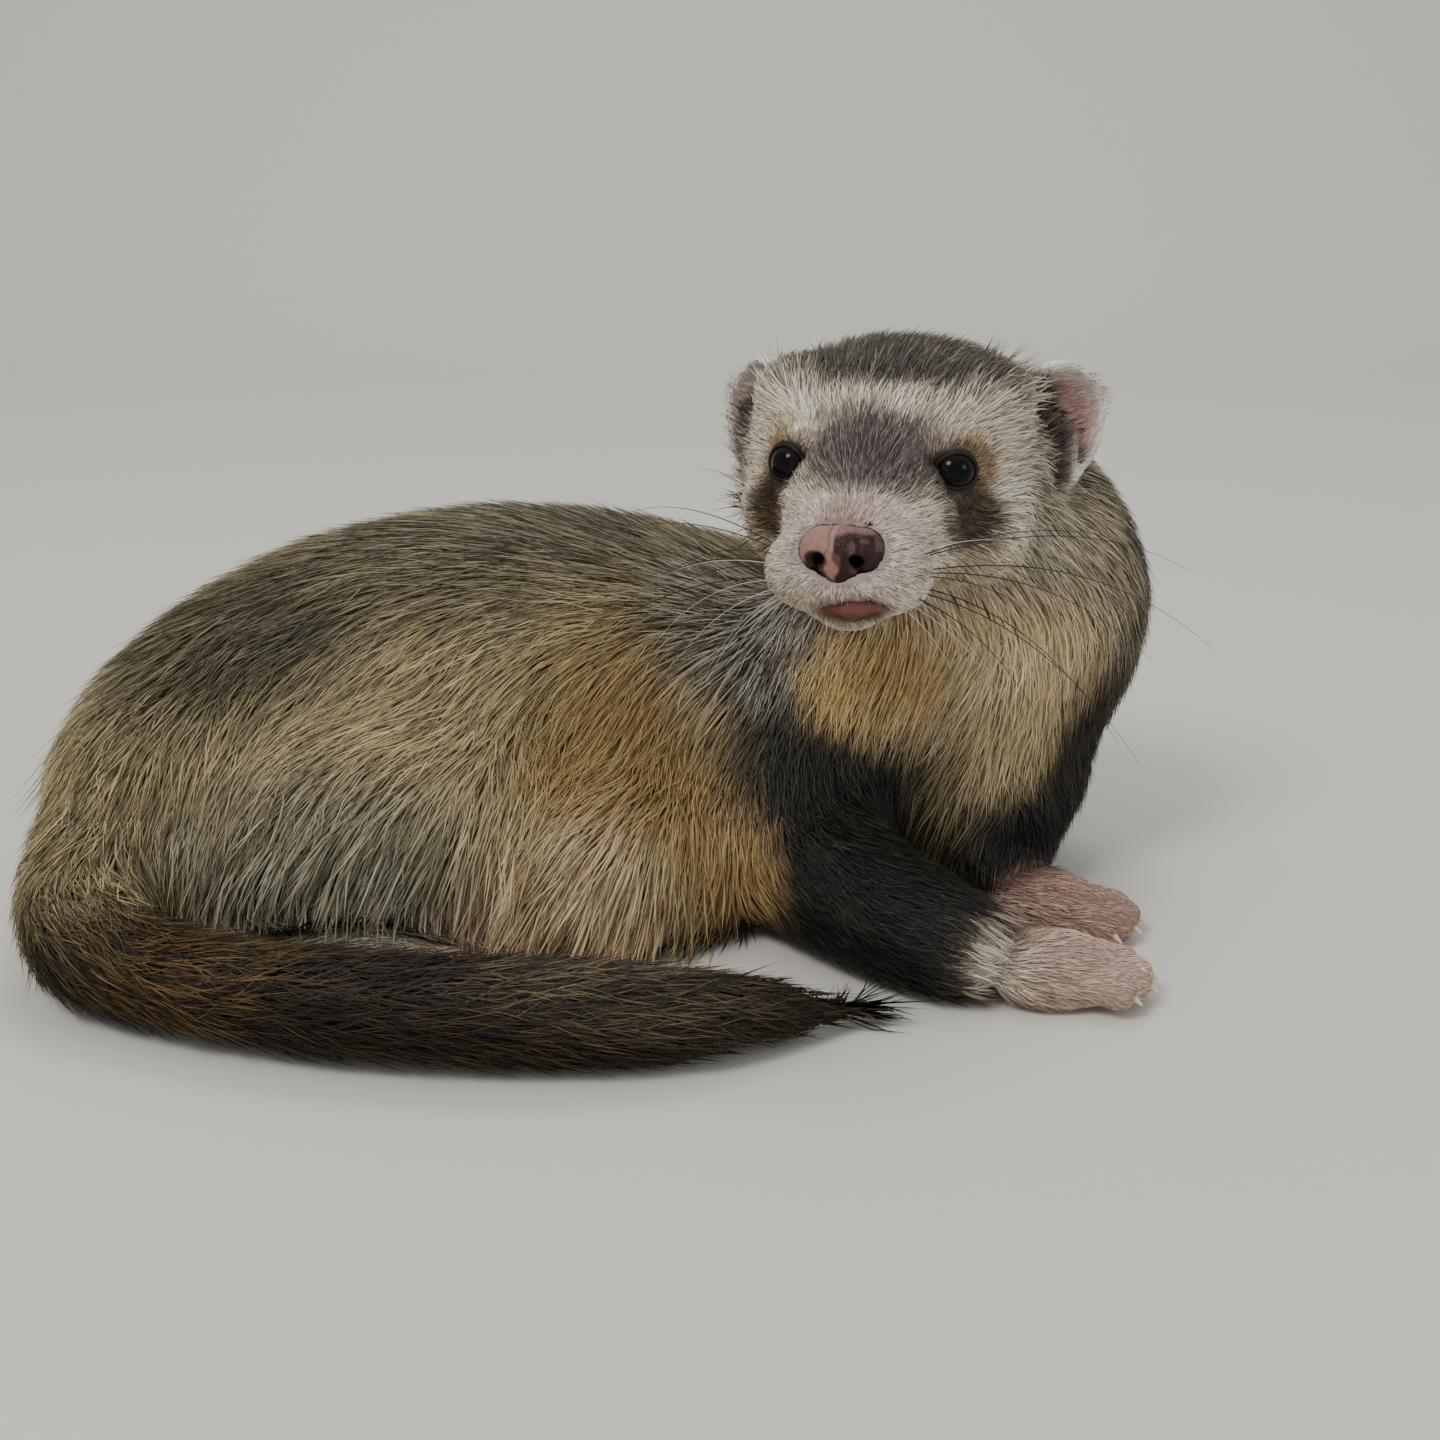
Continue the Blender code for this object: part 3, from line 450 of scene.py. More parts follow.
def markings(points, weights):
    """Light colour, dark colour and share of dark hairs for each point, seven numbers each."""
    count = len(points)
    tones = np.zeros((count, 7))
    for (tone, _), weight in zip(LINES, weights):
        tones += weight[:, None] * tone_array(LINE_TONES[tone], count)
    trunk = weights[0] + weights[2]
    back = smooth_step(points[:, 2] + 3 * noise(points, 9.0, 5), 50, 66)
    behind = smooth_step(-points[:, 0], -34, -8)
    back = (back * trunk * behind)[:, None]
    tones += back * (tone_array(DORSAL_TONE, count) - tones)
    ragged = 0.1 * noise(points, 5.0, 3) + 0.07 * noise(points, 1.7, 4)
    tones = lay_mark(tones, points, ragged, *RUMP_MARK)
    for mark in TAIL_MARKS:
        marked = lay_mark(tones, points, ragged, *mark)
        tones = tones + weights[1][:, None] * (marked - tones)
    marked = tones
    for mark in BODY_MARKS:
        marked = lay_mark(marked, points, ragged, *mark)
    tones = marked + (weights[1][:, None] ** 0.6) * (tones - marked)
    on_head = weights[5][:, None] ** 0.55
    local = in_head(points)
    face = np.where(on_head > 0.5, tone_array(LINE_TONES["head"], count), tones)
    face = tones + on_head * (face - tones)
    for centre, radii, tone in HEAD_MARKS:
        face = lay_mark(face, local, ragged, centre, radii, tone)
        if abs(centre[0]) > 3:
            face = lay_mark(face, local, ragged, (-centre[0], *centre[1:]), radii, tone)
    tones = tones + on_head * (face - tones)
    for side in SIDES:
        place = ear_local(side, points)
        around = np.hypot(place[:, 0], place[:, 2])
        inside = 1 - smooth_step(norm(place), 0.84, 0.98)
        inner = -SIDES[side] * place[:, 0] - 0.25 * place[:, 2] + ragged
        ear = tone_array(EAR_TONES["rim"], count)
        pink = (inside * (1 - smooth_step(around, 0.62, 0.92)))[:, None]
        ear = ear + pink * (tone_array(EAR_TONES["pink"], count) - ear)
        dark = (smooth_step(inner, -0.35, 0.25) * (1 - smooth_step(place[:, 2], 0.45, 0.85)))[:, None]
        ear = ear + dark * (tone_array(EAR_TONES["dark"], count) - ear)
        tones = tones + ear_share(side, points)[:, None] * (ear - tones)
    return tones


# Meshes and materials

def to_scene(points):
    """From mm in the animal's frame to metres in the scene."""
    return (np.asarray(points, float) + SHIFT) * MM


def mesh_from(name, points, faces, colours=None, corners=None):
    """A smooth-shaded object from arrays, with colours a point and a bake map a corner."""
    mesh = bpy.data.meshes.new(name)
    sides = faces.shape[1]
    mesh.vertices.add(len(points))
    mesh.vertices.foreach_set("co", to_scene(points).ravel())
    mesh.loops.add(faces.size)
    mesh.loops.foreach_set("vertex_index", faces.ravel())
    mesh.polygons.add(len(faces))
    mesh.polygons.foreach_set("loop_start", np.arange(0, faces.size, sides))
    mesh.update(calc_edges=True)
    mesh.shade_smooth()
    if colours is not None:
        paint(mesh, colours)
    if corners is not None:
        layer = mesh.uv_layers.new(name="OFBake")
        layer.uv.foreach_set("vector", corners.ravel())
    piece = bpy.data.objects.new(name, mesh)
    bpy.context.scene.collection.objects.link(piece)
    return piece


def paint(mesh, colours):
    layer = mesh.color_attributes.new("tint", "FLOAT_COLOR", "POINT")
    rgba = np.ones((len(colours), 4))
    rgba[:, :3] = np.clip(colours, 0, 1)
    layer.data.foreach_set("color", rgba.ravel())


def points_of(mesh):
    """The mesh's points in mm in the animal's frame."""
    values = np.zeros(len(mesh.vertices) * 3)
    mesh.vertices.foreach_get("co", values)
    return values.reshape(-1, 3) / MM - SHIFT


def set_points(mesh, points):
    mesh.vertices.foreach_set("co", to_scene(points).ravel())
    mesh.update()


def edges_of(mesh):
    values = np.zeros(len(mesh.edges) * 2, np.int32)
    mesh.edges.foreach_get("vertices", values)
    return values.reshape(-1, 2)


def normals_of(mesh):
    values = np.zeros(len(mesh.vertices) * 3)
    mesh.vertex_normals.foreach_get("vector", values)
    return values.reshape(-1, 3)


def relaxed(points, edges, rounds, share=1.0):
    """Smooths without shrinking: each round steps towards the neighbours and back."""
    count = len(points)
    ends = np.concatenate([edges[:, 0], edges[:, 1]])
    others = np.concatenate([edges[:, 1], edges[:, 0]])
    valence = np.bincount(ends, minlength=count)[:, None]
    share = np.reshape(share, (-1, 1)) if np.ndim(share) else share
    for _ in range(rounds):
        for step in (0.6, -0.61):
            near = points[others]
            total = [np.bincount(ends, near[:, axis], minlength=count) for axis in range(3)]
            mean = np.stack(total, axis=1) / np.maximum(valence, 1)
            points = points + step * share * (mean - points)
    return points


def evaluated_mesh(piece):
    graph = bpy.context.evaluated_depsgraph_get()
    return bpy.data.meshes.new_from_object(piece.evaluated_get(graph))


def remeshed(name, parts, voxel, growth=0.0):
    """One closed mesh over the given CAD nodes, which may be grown a little first."""
    bm = bmesh.new()
    for part in parts:
        single = bmesh.new()
        single.from_mesh(part.data)
        bmesh.ops.remove_doubles(single, verts=single.verts, dist=1e-6)
        single.normal_update()
        for vert in single.verts:
            vert.co += vert.normal * growth * MM
        rough = bpy.data.meshes.new("part")
        single.to_mesh(rough)
        single.free()
        bm.from_mesh(rough)
        bpy.data.meshes.remove(rough)
    mesh = bpy.data.meshes.new(name)
    bm.to_mesh(mesh)
    bm.free()
    piece = bpy.data.objects.new(name, mesh)
    bpy.context.scene.collection.objects.link(piece)
    modifier = piece.modifiers.new("Remesh", "REMESH")
    modifier.mode = "VOXEL"
    modifier.voxel_size = voxel * MM
    piece.data = evaluated_mesh(piece)
    piece.modifiers.clear()
    keep_largest(piece.data)
    piece.data.shade_smooth()
    bpy.data.meshes.remove(mesh)
    return piece


def keep_largest(mesh):
    """Drops all but the largest closed surface."""
    edges = edges_of(mesh)
    label = np.arange(len(mesh.vertices))
    while True:
        lower = label.copy()
        np.minimum.at(lower, edges[:, 0], label[edges[:, 1]])
        np.minimum.at(lower, edges[:, 1], label[edges[:, 0]])
        lower = lower[lower]
        if np.array_equal(lower, label):
            break
        label = lower
    main = np.bincount(label).argmax()
    if (label != main).any():
        bm = bmesh.new()
        bm.from_mesh(mesh)
        bm.verts.ensure_lookup_table()
        strays = [bm.verts[k] for k in np.flatnonzero(label != main)]
        bmesh.ops.delete(bm, geom=strays, context="VERTS")
        bm.to_mesh(mesh)
        bm.free()


def new_material(name):
    """A material, its nodes and its principled shader."""
    material = bpy.data.materials.new(name)
    material.use_nodes = True
    nodes = material.node_tree.nodes
    return material, nodes, nodes["Principled BSDF"]


def link(material, source, target):
    material.node_tree.links.new(source, target)


def add_bump(material, scale, strength, distance, detail=3.0):
    """Fine relief in the object's own space."""
    nodes = material.node_tree.nodes
    place = nodes.new("ShaderNodeTexCoord")
    grain = nodes.new("ShaderNodeTexNoise")
    grain.inputs["Scale"].default_value = scale
    grain.inputs["Detail"].default_value = detail
    bump = nodes.new("ShaderNodeBump")
    bump.inputs["Strength"].default_value = strength
    bump.inputs["Distance"].default_value = distance * MM
    link(material, place.outputs["Object"], grain.inputs["Vector"])
    link(material, grain.outputs["Fac"], bump.inputs["Height"])
    link(material, bump.outputs["Normal"], nodes["Principled BSDF"].inputs["Normal"])


def tinted(name, roughness, specular=0.5, grain_scale=900.0, grain_share=0.25):
    """A surface coloured by its tint, broken up by fine grain."""
    material, nodes, shader = new_material(name)
    tint = nodes.new("ShaderNodeVertexColor")
    tint.layer_name = "tint"
    place = nodes.new("ShaderNodeTexCoord")
    grain = nodes.new("ShaderNodeTexNoise")
    grain.inputs["Scale"].default_value = grain_scale
    spread = nodes.new("ShaderNodeMapRange")
    spread.inputs["To Min"].default_value = 1 - grain_share
    spread.inputs["To Max"].default_value = 1 + grain_share
    mix = nodes.new("ShaderNodeMix")
    mix.data_type = "RGBA"
    mix.blend_type = "MULTIPLY"
    mix.inputs["Factor"].default_value = 1.0
    link(material, place.outputs["Object"], grain.inputs["Vector"])
    link(material, grain.outputs["Fac"], spread.inputs["Value"])
    link(material, tint.outputs["Color"], mix.inputs["A"])
    link(material, spread.outputs["Result"], mix.inputs["B"])
    link(material, mix.outputs["Result"], shader.inputs["Base Color"])
    shader.inputs["Roughness"].default_value = roughness
    shader.inputs["Specular IOR Level"].default_value = specular
    return material


def finish_piece(piece, material, slot, *nodes):
    piece.data.materials.clear()
    piece.data.materials.append(material)
    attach(piece, "root")
    if nodes:
        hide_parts(*nodes)


# The skin

def mouth_distance(points):
    """How far each point lies from the line of the mouth, either side."""
    local = in_head(points)
    local[:, 0] = np.abs(local[:, 0])
    path = np.array(MOUTH, float)
    best = np.full(len(points), 1e9)
    for start, end in zip(path[:-1], path[1:]):
        run = end - start
        share = np.clip((local - start) @ run / (run @ run), 0, 1)[:, None]
        best = np.minimum(best, norm(local - start - share * run))
    return best


def lid_limit(side, local):
    """How far from the eye's axis its opening reaches towards each point, in radians."""
    reach = np.maximum(np.hypot(local[:, 0], local[:, 2]), 1e-6)
    across, up = local[:, 0] / reach, local[:, 2] / reach
    corner = np.maximum(0, -across * SIDES[side]) ** 6
    wide = np.radians(LID_ANGLES[0] + LID_CORNER * corner)
    tall = np.radians(LID_ANGLES[1] * np.where(up > 0, 1.0, 0.92))
    return 1 / np.hypot(across / wide, up / tall)


def off_opening(side, points):
    """The points in the eye's frame, their distance, and how far off the opening they lie."""
    local = through(eye_frame(side).inverted(), points)
    distance = norm(local)
    angle = np.arccos(np.clip(-local[:, 1] / distance, -1, 1))
    return local, distance, angle - lid_limit(side, local)


def open_lids(points):
    """The skin laid over each eyeball, and sunk into it where the lids leave it bare."""
    points = points.copy()
    for side in SIDES:
        local, distance, outside = off_opening(side, points)
        near = (distance < EYE_RADIUS + 3.5) & (local[:, 1] < 2)
        bare_share = 1 - smooth_step(outside, -0.02, 0.13)
        lidded = np.maximum(distance, EYE_RADIUS + LID_COVER)
        wanted = lidded + bare_share * (EYE_RADIUS - 0.5 - lidded)
        local[near] *= (wanted / distance)[near, None]
        points[near] = through(eye_frame(side), local[near])
    return points


def refine_eyes(mesh):
    """A finer mesh round the eyes."""
    bm = bmesh.new()
    bm.from_mesh(mesh)
    for centre in EYE_CENTRES.values():
        middle = Vector(to_scene(centre))
        close = [edge for edge in bm.edges if (edge.verts[0].co - middle).length < 7.5 * MM]
        bmesh.ops.subdivide_edges(bm, edges=close, cuts=1, use_grid_fill=True)
    bmesh.ops.triangulate(bm, faces=[face for face in bm.faces if len(face.verts) > 4])
    bm.to_mesh(mesh)
    bm.free()


def build_skin(nodes):
    parts = [nodes[name] for name in (*FLESH, *EARS, *EYES)]
    skin = remeshed("skin", parts, SKIN_VOXEL, SKIN_GROWTH)
    mesh = skin.data
    refine_eyes(mesh)
    edges = edges_of(mesh)
    points = points_of(mesh)
    zones = survey(points)
    points = relaxed(points, edges, SKIN_ROUNDS)
    head_or_paw = zones["weights"][5:].sum(axis=0)
    on_body = 1 - smooth_step(head_or_paw, 0.3, 0.8)
    for centre in EYE_CENTRES.values():
        near = 1 - smooth_step(norm(points - centre), 6.5, 9)
        on_body = np.maximum(on_body, near)
    points = relaxed(points, edges, BODY_ROUNDS, on_body)
    for _ in range(SINK_STEPS):
        set_points(mesh, points)
        points = points - normals_of(mesh) * (zones["depth"] / SINK_STEPS)[:, None]
        points = relaxed(points, edges, 2, on_body)
    set_points(mesh, points)
    points = open_lids(points)
    set_points(mesh, points)
    groove = MOUTH_DEPTH * np.exp(-(mouth_distance(points) / MOUTH_WIDTH) ** 2)
    points = points - normals_of(mesh) * groove[:, None]
    points[:, 2] = np.maximum(points[:, 2], 0.05)
    set_points(mesh, points)
    unwrap(skin)
    tones = markings(points, survey(points)["weights"])
    blend = tones[:, :3] + tones[:, 6:] * (tones[:, 3:6] - tones[:, :3])
    ears = np.maximum(ear_share("left", points), ear_share("right", points))
    # Painted shade: the skin darkened along the crease of the mouth, beyond the lip
    beyond_lip = smooth_step(np.abs(in_head(points)[:, 0]), 5, 9)
    mouth = beyond_lip * np.exp(-(mouth_distance(points) / 0.9) ** 2)
    # Painted shade: the skin darkened under the coat, less on the ears
    blend = blend * (SKIN_PAINTED_SHADE + EAR_LIGHTER * ears - MOUTH_CREASE_SHADE * mouth)[:, None]
    for side in SIDES:
        _, distance, outside = off_opening(side, points)
        rim = (distance < EYE_RADIUS + 2) * (1 - smooth_step(outside, 0.1, 0.45))
        blend += rim[:, None] * (np.array([0.03, 0.02, 0.015]) - blend)
    paint(mesh, blend)
    material = tinted("Skin", 0.7, 0.3)
    add_bump(material, 1400.0, 0.5, 0.3)
    finish_piece(skin, material, "fur_flank", *FLESH, *EARS)
    return skin


def unwrap(piece):
    """The skin's own unwrap, which also places each tuft in the bake map."""
    piece.data.uv_layers.new(name="OFBake")
    for other in bpy.context.selected_objects:
        other.select_set(False)
    bpy.context.view_layer.objects.active = piece
    piece.select_set(True)
    bpy.ops.object.mode_set(mode="EDIT")
    bpy.ops.mesh.select_all(action="SELECT")
    bpy.ops.uv.smart_project(angle_limit=math.radians(70), island_margin=0.002)
    bpy.ops.object.mode_set(mode="OBJECT")


# The coat

class Surface:
    """A mesh with what rooting hairs on it needs."""

    def __init__(self, piece):
        mesh = piece.data
        mesh.calc_loop_triangles()
        count = len(mesh.loop_triangles)
        corners = np.zeros(count * 3, np.int32)
        mesh.loop_triangles.foreach_get("vertices", corners)
        self.triangles = corners.reshape(-1, 3)
        loops = np.zeros(count * 3, np.int32)
        mesh.loop_triangles.foreach_get("loops", loops)
        self.loops = loops.reshape(-1, 3)
        self.points = points_of(mesh)
        self.normals = normals_of(mesh)
        self.tree = BVHTree.FromPolygons(self.points.tolist(), self.triangles.tolist())
        maps = np.zeros(len(mesh.loops) * 2)
        mesh.uv_layers[0].uv.foreach_get("vector", maps)
        self.maps = maps.reshape(-1, 2)
        a, b, c = (self.points[self.triangles[:, k]] for k in range(3))
        self.areas = norm(np.cross(b - a, c - a)) / 2
        self.middles = (a + b + c) / 3

    def roots(self, chances, count, rng):
        """Random places, as likely as their triangles' chances: point, normal, place on the map."""
        chosen = rng.choice(len(chances), count, p=chances / chances.sum())
        u, v = rng.random(count), rng.random(count)
        over = u + v > 1
        u[over], v[over] = 1 - u[over], 1 - v[over]
        shares = np.stack([1 - u - v, u, v], axis=1)
        corners = self.triangles[chosen]
        points = np.einsum("pk,pkc->pc", shares, self.points[corners])
        normals = unit(np.einsum("pk,pkc->pc", shares, self.normals[corners]))
        places = np.einsum("pk,pkc->pc", shares, self.maps[self.loops[chosen]])
        return points, normals, places

    def under(self, points):
        """The nearest place on the surface to each point, and the way out there."""
        places = np.empty_like(points)
        outward = np.empty_like(points)
        find = self.tree.find_nearest
        for k, point in enumerate(points.tolist()):
            place, normal, _, _ = find(point)
            places[k] = place
            outward[k] = normal
        return places, outward


def tuft_mesh(path, outward, across, width):
    """Closed three-sided tufts: a root, rings and a tip, for each row of paths."""
    count, stops = path.shape[:2]
    rings = stops - 2
    own = 3 * rings + 2
    points = np.empty((count, own, 3))
    normals = np.empty((count, own, 3))
    points[:, 0], normals[:, 0] = path[:, 0], outward[:, 0]
    points[:, -1], normals[:, -1] = path[:, -1], outward[:, -1]
    for ring in range(1, rings + 1):
        half = (width * (1.0 if ring == 1 else 0.8) / 2)[:, None]
        for n, (side, up) in enumerate(((-1, 0), (1, 0), (0, 1.1))):
            offset = across * side + outward[:, ring] * up
            points[:, 3 * ring - 2 + n] = path[:, ring] + offset * half
            normals[:, 3 * ring - 2 + n] = unit(ROUNDNESS * offset + outward[:, ring])
    pattern = []
    for a, b in ((1, 2), (2, 3), (3, 1)):
        pattern.append((0, b, a))
        for ring in range(rings - 1):
            pattern.append((a + 3 * ring, b + 3 * ring, b + 3 * ring + 3))
            pattern.append((a + 3 * ring, b + 3 * ring + 3, a + 3 * ring + 3))
        last = 3 * (rings - 1)
        pattern.append((a + last, b + last, own - 1))
    faces = np.array(pattern)[None] + own * np.arange(count)[:, None, None]
    return points, normals, faces


def tuft_spread(rings):
    """How far along and across its tuft each point lies."""
    along = [0.0]
    across = [0.5]
    for ring in range(rings):
        along += [0.45 if rings == 1 else 0.33 + 0.37 * ring] * 3
        across += [0.1, 0.9, 0.5]
    return np.array(along + [1.0]), np.array(across + [0.5])


def tuft_colours(tones, along, rng):
    """Colours along each tuft: its root muted towards the dark tone and darkened by painted shade, its
    tip in the hair's own tone.
    """
    count = len(tones)
    light, dark, share = tones[:, :3], tones[:, 3:6], tones[:, 6]
    pick = smooth_step(share - rng.random(count), -0.12, 0.12)[:, None]
    root = light + (0.3 + 0.45 * pick) * (dark - light)
    tip = light + pick * (dark - light)
    jitter = np.exp(rng.normal(0, TONE_SPREAD, count))[:, None, None]
    share = along[None, :, None]
    return ((root[:, None] * ROOT_PAINTED_SHADE) * (1 - share) + tip[:, None] * share * TIP_TONE) * jitter


def tuft_maps(places, along, across):
    """Each tuft's patch of the bake map, at its root's place on the skin's unwrap."""
    patch = np.stack([across, along], axis=1) * BAKE_PATCH - BAKE_PATCH / 2
    return np.clip(places[:, None] + patch[None], 0, 1)


def tuft_piece(name, tufts, chosen):
    """One object of the chosen tufts."""
    points, normals, faces, colours, maps = tufts
    moved = faces[:len(chosen)].reshape(-1, 3)
    mapped = maps[chosen].reshape(-1, 2)[moved.ravel()]
    colours = colours[chosen].reshape(-1, 3)
    piece = mesh_from(name, points[chosen].reshape(-1, 3), moved, colours, mapped)
    piece.data.normals_split_custom_set_from_vertices(normals[chosen].reshape(-1, 3))
    finish_piece(piece, COAT_MATERIAL, "fur_flank")


def comb(normals, run, twist):
    """The run laid in the surface and turned a little about its normal."""
    flat = unit(run - normals * np.einsum("pc,pc->p", run, normals)[:, None])
    side = np.cross(normals, flat)
    return flat * np.cos(twist)[:, None] + side * np.sin(twist)[:, None]


def lay_tufts(surface, roots, normals, length, height, steps, rng):
    """Each tuft's points, laid along the surface and rising to its height."""
    count = len(roots)
    wave = 0.15 * noise(roots, 9.0, 11) + 0.13 * noise(roots, 3.0, 12)
    stray = rng.normal(0, 0.09, count)
    path = np.empty((count, len(steps) + 1, 3))
    outward = np.empty_like(path)
    path[:, 0], outward[:, 0] = roots - normals * ROOT_DEPTH, normals
    here, out = roots, normals
    across = None
    risen = 0.0
    for k, step in enumerate(steps):
        run = comb(out, survey(here)["run"], wave + stray * (1 + 0.4 * k))
        if across is None:
            across = unit(np.cross(out, run))
        ahead = here + run * (length * step)[:, None]
        below, normal = surface.under(ahead)
        free = norm(below - ahead) > 0.6 + 0.16 * length * step
        here = np.where(free[:, None], ahead, below)
        out = np.where(free[:, None], out, normal)
        risen += step
        path[:, k + 1] = here + out * (height * risen ** 0.75)[:, None]
        outward[:, k + 1] = out
    path[:, :, 2] = np.maximum(path[:, :, 2], FLOOR_CLEARANCE)
    return path, outward, across


def bare(points):
    """True where no tuft grows: eyes, nose pad, lower lip."""
    local = in_head(points)
    gone = np.zeros(len(points), bool)
    for side in SIDES:
        _, distance, outside = off_opening(side, points)
        gone |= (distance < EYE_RADIUS + 1) & (outside < 0.12)
    for place, radii in ((NOSE_PLACE, NOSE_BARE), (LIP_PLACE, LIP_BARE)):
        gone |= norm((local - np.array(place)) / np.array(radii)) < 1
    return gone | (mouth_distance(points) < 0.35)


def over_eye(path):
    """True for tufts that would lie across an eye."""
    gone = np.zeros(len(path), bool)
    for side in SIDES:
        for k in range(1, path.shape[1]):
            _, distance, outside = off_opening(side, path[:, k])
            gone |= (distance < EYE_RADIUS + 1.6) & (outside < 0.04)
    return gone


def build_coat(skin):
    rng = np.random.default_rng(SEED)
    surface = Surface(skin)
    zones = survey(surface.middles)
    layers = np.array([COAT_LAYERS[tone] for tone, _ in LINES]) @ zones["weights"]
    chances = surface.areas * layers / (zones["length"] * (0.16 + 0.016 * zones["length"]))
    downward = surface.normals[surface.triangles].mean(axis=1)[:, 2]
    hidden = smooth_step(-downward, 0.3, 0.8) * smooth_step(-surface.middles[:, 2], -9, -3)
    chances = chances * (1 - 0.93 * hidden)
    for side in SIDES:
        cup = 1 - smooth_step(norm(ear_local(side, surface.middles)), 0.82, 0.95)
        chances = chances * (1 - 0.75 * cup)
    chances[bare(surface.middles)] = 0
    grow_coat("fine", surface, chances, FINE_TUFTS, (0.5, 0.5), rng)
    long_hair = smooth_step(zones["length"], 3.5, 9)
    grow_coat("long", surface, chances * (0.2 + long_hair), LONG_TUFTS, (0.3, 0.35, 0.35), rng)


def grow_coat(kind, surface, chances, count, steps, rng):
    roots, normals, places = surface.roots(chances, count, rng)
    zones = survey(roots)
    usual = zones["length"]
    length = usual * np.exp(rng.normal(0, 0.15, count)) * (1 + 0.12 * noise(roots, 6, 9))
    width = (TUFT_WIDTH[0] + TUFT_WIDTH[1] * usual) * rng.uniform(0.7, 1.25, count)
    if kind == "long":
        width *= 0.85
    height = zones["depth"] * rng.uniform(*TUFT_RISE[kind], count)
    stray = rng.random(count) < STRAY_SHARE
    height[stray] *= 1.3
    width[stray] *= 0.6
    path, outward, across = lay_tufts(surface, roots, normals, length, height, steps, rng)
    points, normals, faces = tuft_mesh(path, outward, across, width)
    along, side = tuft_spread(len(steps) - 1)
    seen = path[:, -2]
    tones = markings(seen, survey(seen)["weights"])
    lock = np.exp(0.16 * noise(roots, 2.2, 31) + 0.1 * noise(roots, 6.0, 32))
    colours = tuft_colours(tones, along, rng) * lock[:, None, None]
    tufts = (points, normals, faces, colours, tuft_maps(places, along, side))
    owner = np.minimum(zones["weights"].argmax(axis=0), len(COAT_NAMES) - 1)
    owner[over_eye(path)] = -1
    for k, name in enumerate(COAT_NAMES):
        members = np.flatnonzero(owner == k)
        pieces = math.ceil(len(members) * faces.shape[1] / PIECE_TRIANGLES)
        for n in range(pieces):
            tuft_piece(f"coat_{name}_{kind}_{n + 1}", tufts, members[n::pieces])


# Eyes, nose, lip, claws and whiskers

def eye_frame(side):
    centre = EYE_CENTRES[side]
    turn = turned(0, 0, HEAD_YAW) @ turned(HEAD_PITCH, 0, 0)
    turn = turn @ turned(EYE_UPWARD, 0, SIDES[side] * EYE_OUTWARD)
    return Matrix.Translation(centre) @ turn


def build_eye(side):
    """The eyeball with its bulging cornea, nearly black, with a dark brown iris."""
    rings, segments = 40, 56
    polar = np.repeat(np.pi * np.arange(rings + 1) / rings, segments)
    turn = np.tile(2 * np.pi * np.arange(segments) / segments, rings + 1)
    out = np.stack([np.sin(polar) * np.cos(turn), -np.cos(polar), np.sin(polar) * np.sin(turn)], axis=1)
    points = out * EYE_RADIUS * (1 + 0.05 * np.exp(-(polar / 0.75) ** 2))[:, None]
    here = np.arange(rings * segments)
    after = here - here % segments + (here + 1) % segments
    faces = np.stack([here, here + segments, after + segments, after], axis=1)
    polar = np.degrees(polar)
    iris = smooth_step(polar, 26, 32) * (1 - smooth_step(polar, 44, 50))
    colours = 0.003 + iris[:, None] * np.array([0.01, 0.006, 0.004])
    piece = mesh_from(f"eyeball_{side}", through(eye_frame(side), points), faces, colours)
    weld(piece)
    finish_piece(piece, EYE_MATERIAL, "eye", f"eye_{side}")


def weld(piece):
    bm = bmesh.new()
    bm.from_mesh(piece.data)
    bmesh.ops.remove_doubles(bm, verts=bm.verts, dist=1e-7)
    bmesh.ops.recalc_face_normals(bm, faces=bm.faces)
    bm.to_mesh(piece.data)
    bm.free()


def tube(centres, radii, sides=8, closed=False):
    """A tube along centres, its frame carried from one to the next."""
    centres = np.asarray(centres, float)
    count = len(centres)
    if closed:
        runs = unit(np.roll(centres, -1, axis=0) - np.roll(centres, 1, axis=0))
    else:
        runs = unit(np.gradient(centres, axis=0))
    points = []
    across = np.cross(runs[0], [0.31, 0.17, 0.93])
    for k in range(count):
        across = across - runs[k] * (across @ runs[k])
        across = across / np.linalg.norm(across)
        other = np.cross(runs[k], across)
        for n in range(sides):
            turn = 2 * math.pi * n / sides
            points.append(centres[k] + radii[k] * (across * math.cos(turn) + other * math.sin(turn)))
    faces = []
    for k in range(count if closed else count - 1):
        a, b = k * sides, ((k + 1) % count) * sides
        for n in range(sides):
            m = (n + 1) % sides
            faces.append((a + n, a + m, b + m))
            faces.append((a + n, b + m, b + n))
    if not closed:
        for n in range(1, sides - 1):
            faces.append((0, n + 1, n))
            last = (count - 1) * sides
            faces.append((last, last + n, last + n + 1))
    return np.array(points), np.array(faces)


def build_lids(side):
    """The dark rim of the lids, an almond drawn out towards the nose."""
    count = 56
    centres, radii = [], []
    turns = 2 * np.pi * np.arange(count) / count
    around = np.stack([np.cos(turns), np.zeros(count), np.sin(turns)], axis=1)
    limits = lid_limit(side, around)
    for k in range(count):
        out = around[k] * math.sin(limits[k])
        out[1] = -math.cos(limits[k])
        centres.append(out * (EYE_RADIUS + 0.22))
        radii.append(LID_THICKNESS * (1 + 0.25 * (out[2] > 0)))
    points, faces = tube(centres, radii, 10, closed=True)
    colours = np.repeat([LID_TONE], len(points), axis=0)
    piece = mesh_from(f"lids_{side}", through(eye_frame(side), points), faces, colours)
    finish_piece(piece, LID_MATERIAL, "fur_face")


def smoothed(name, node, voxel, rounds, growth=0.0):
    """A smooth copy of a CAD node, and its points."""
    piece = remeshed(name, [node], voxel, growth)
    points = relaxed(points_of(piece.data), edges_of(piece.data), rounds)
    set_points(piece.data, points)
    return piece, points


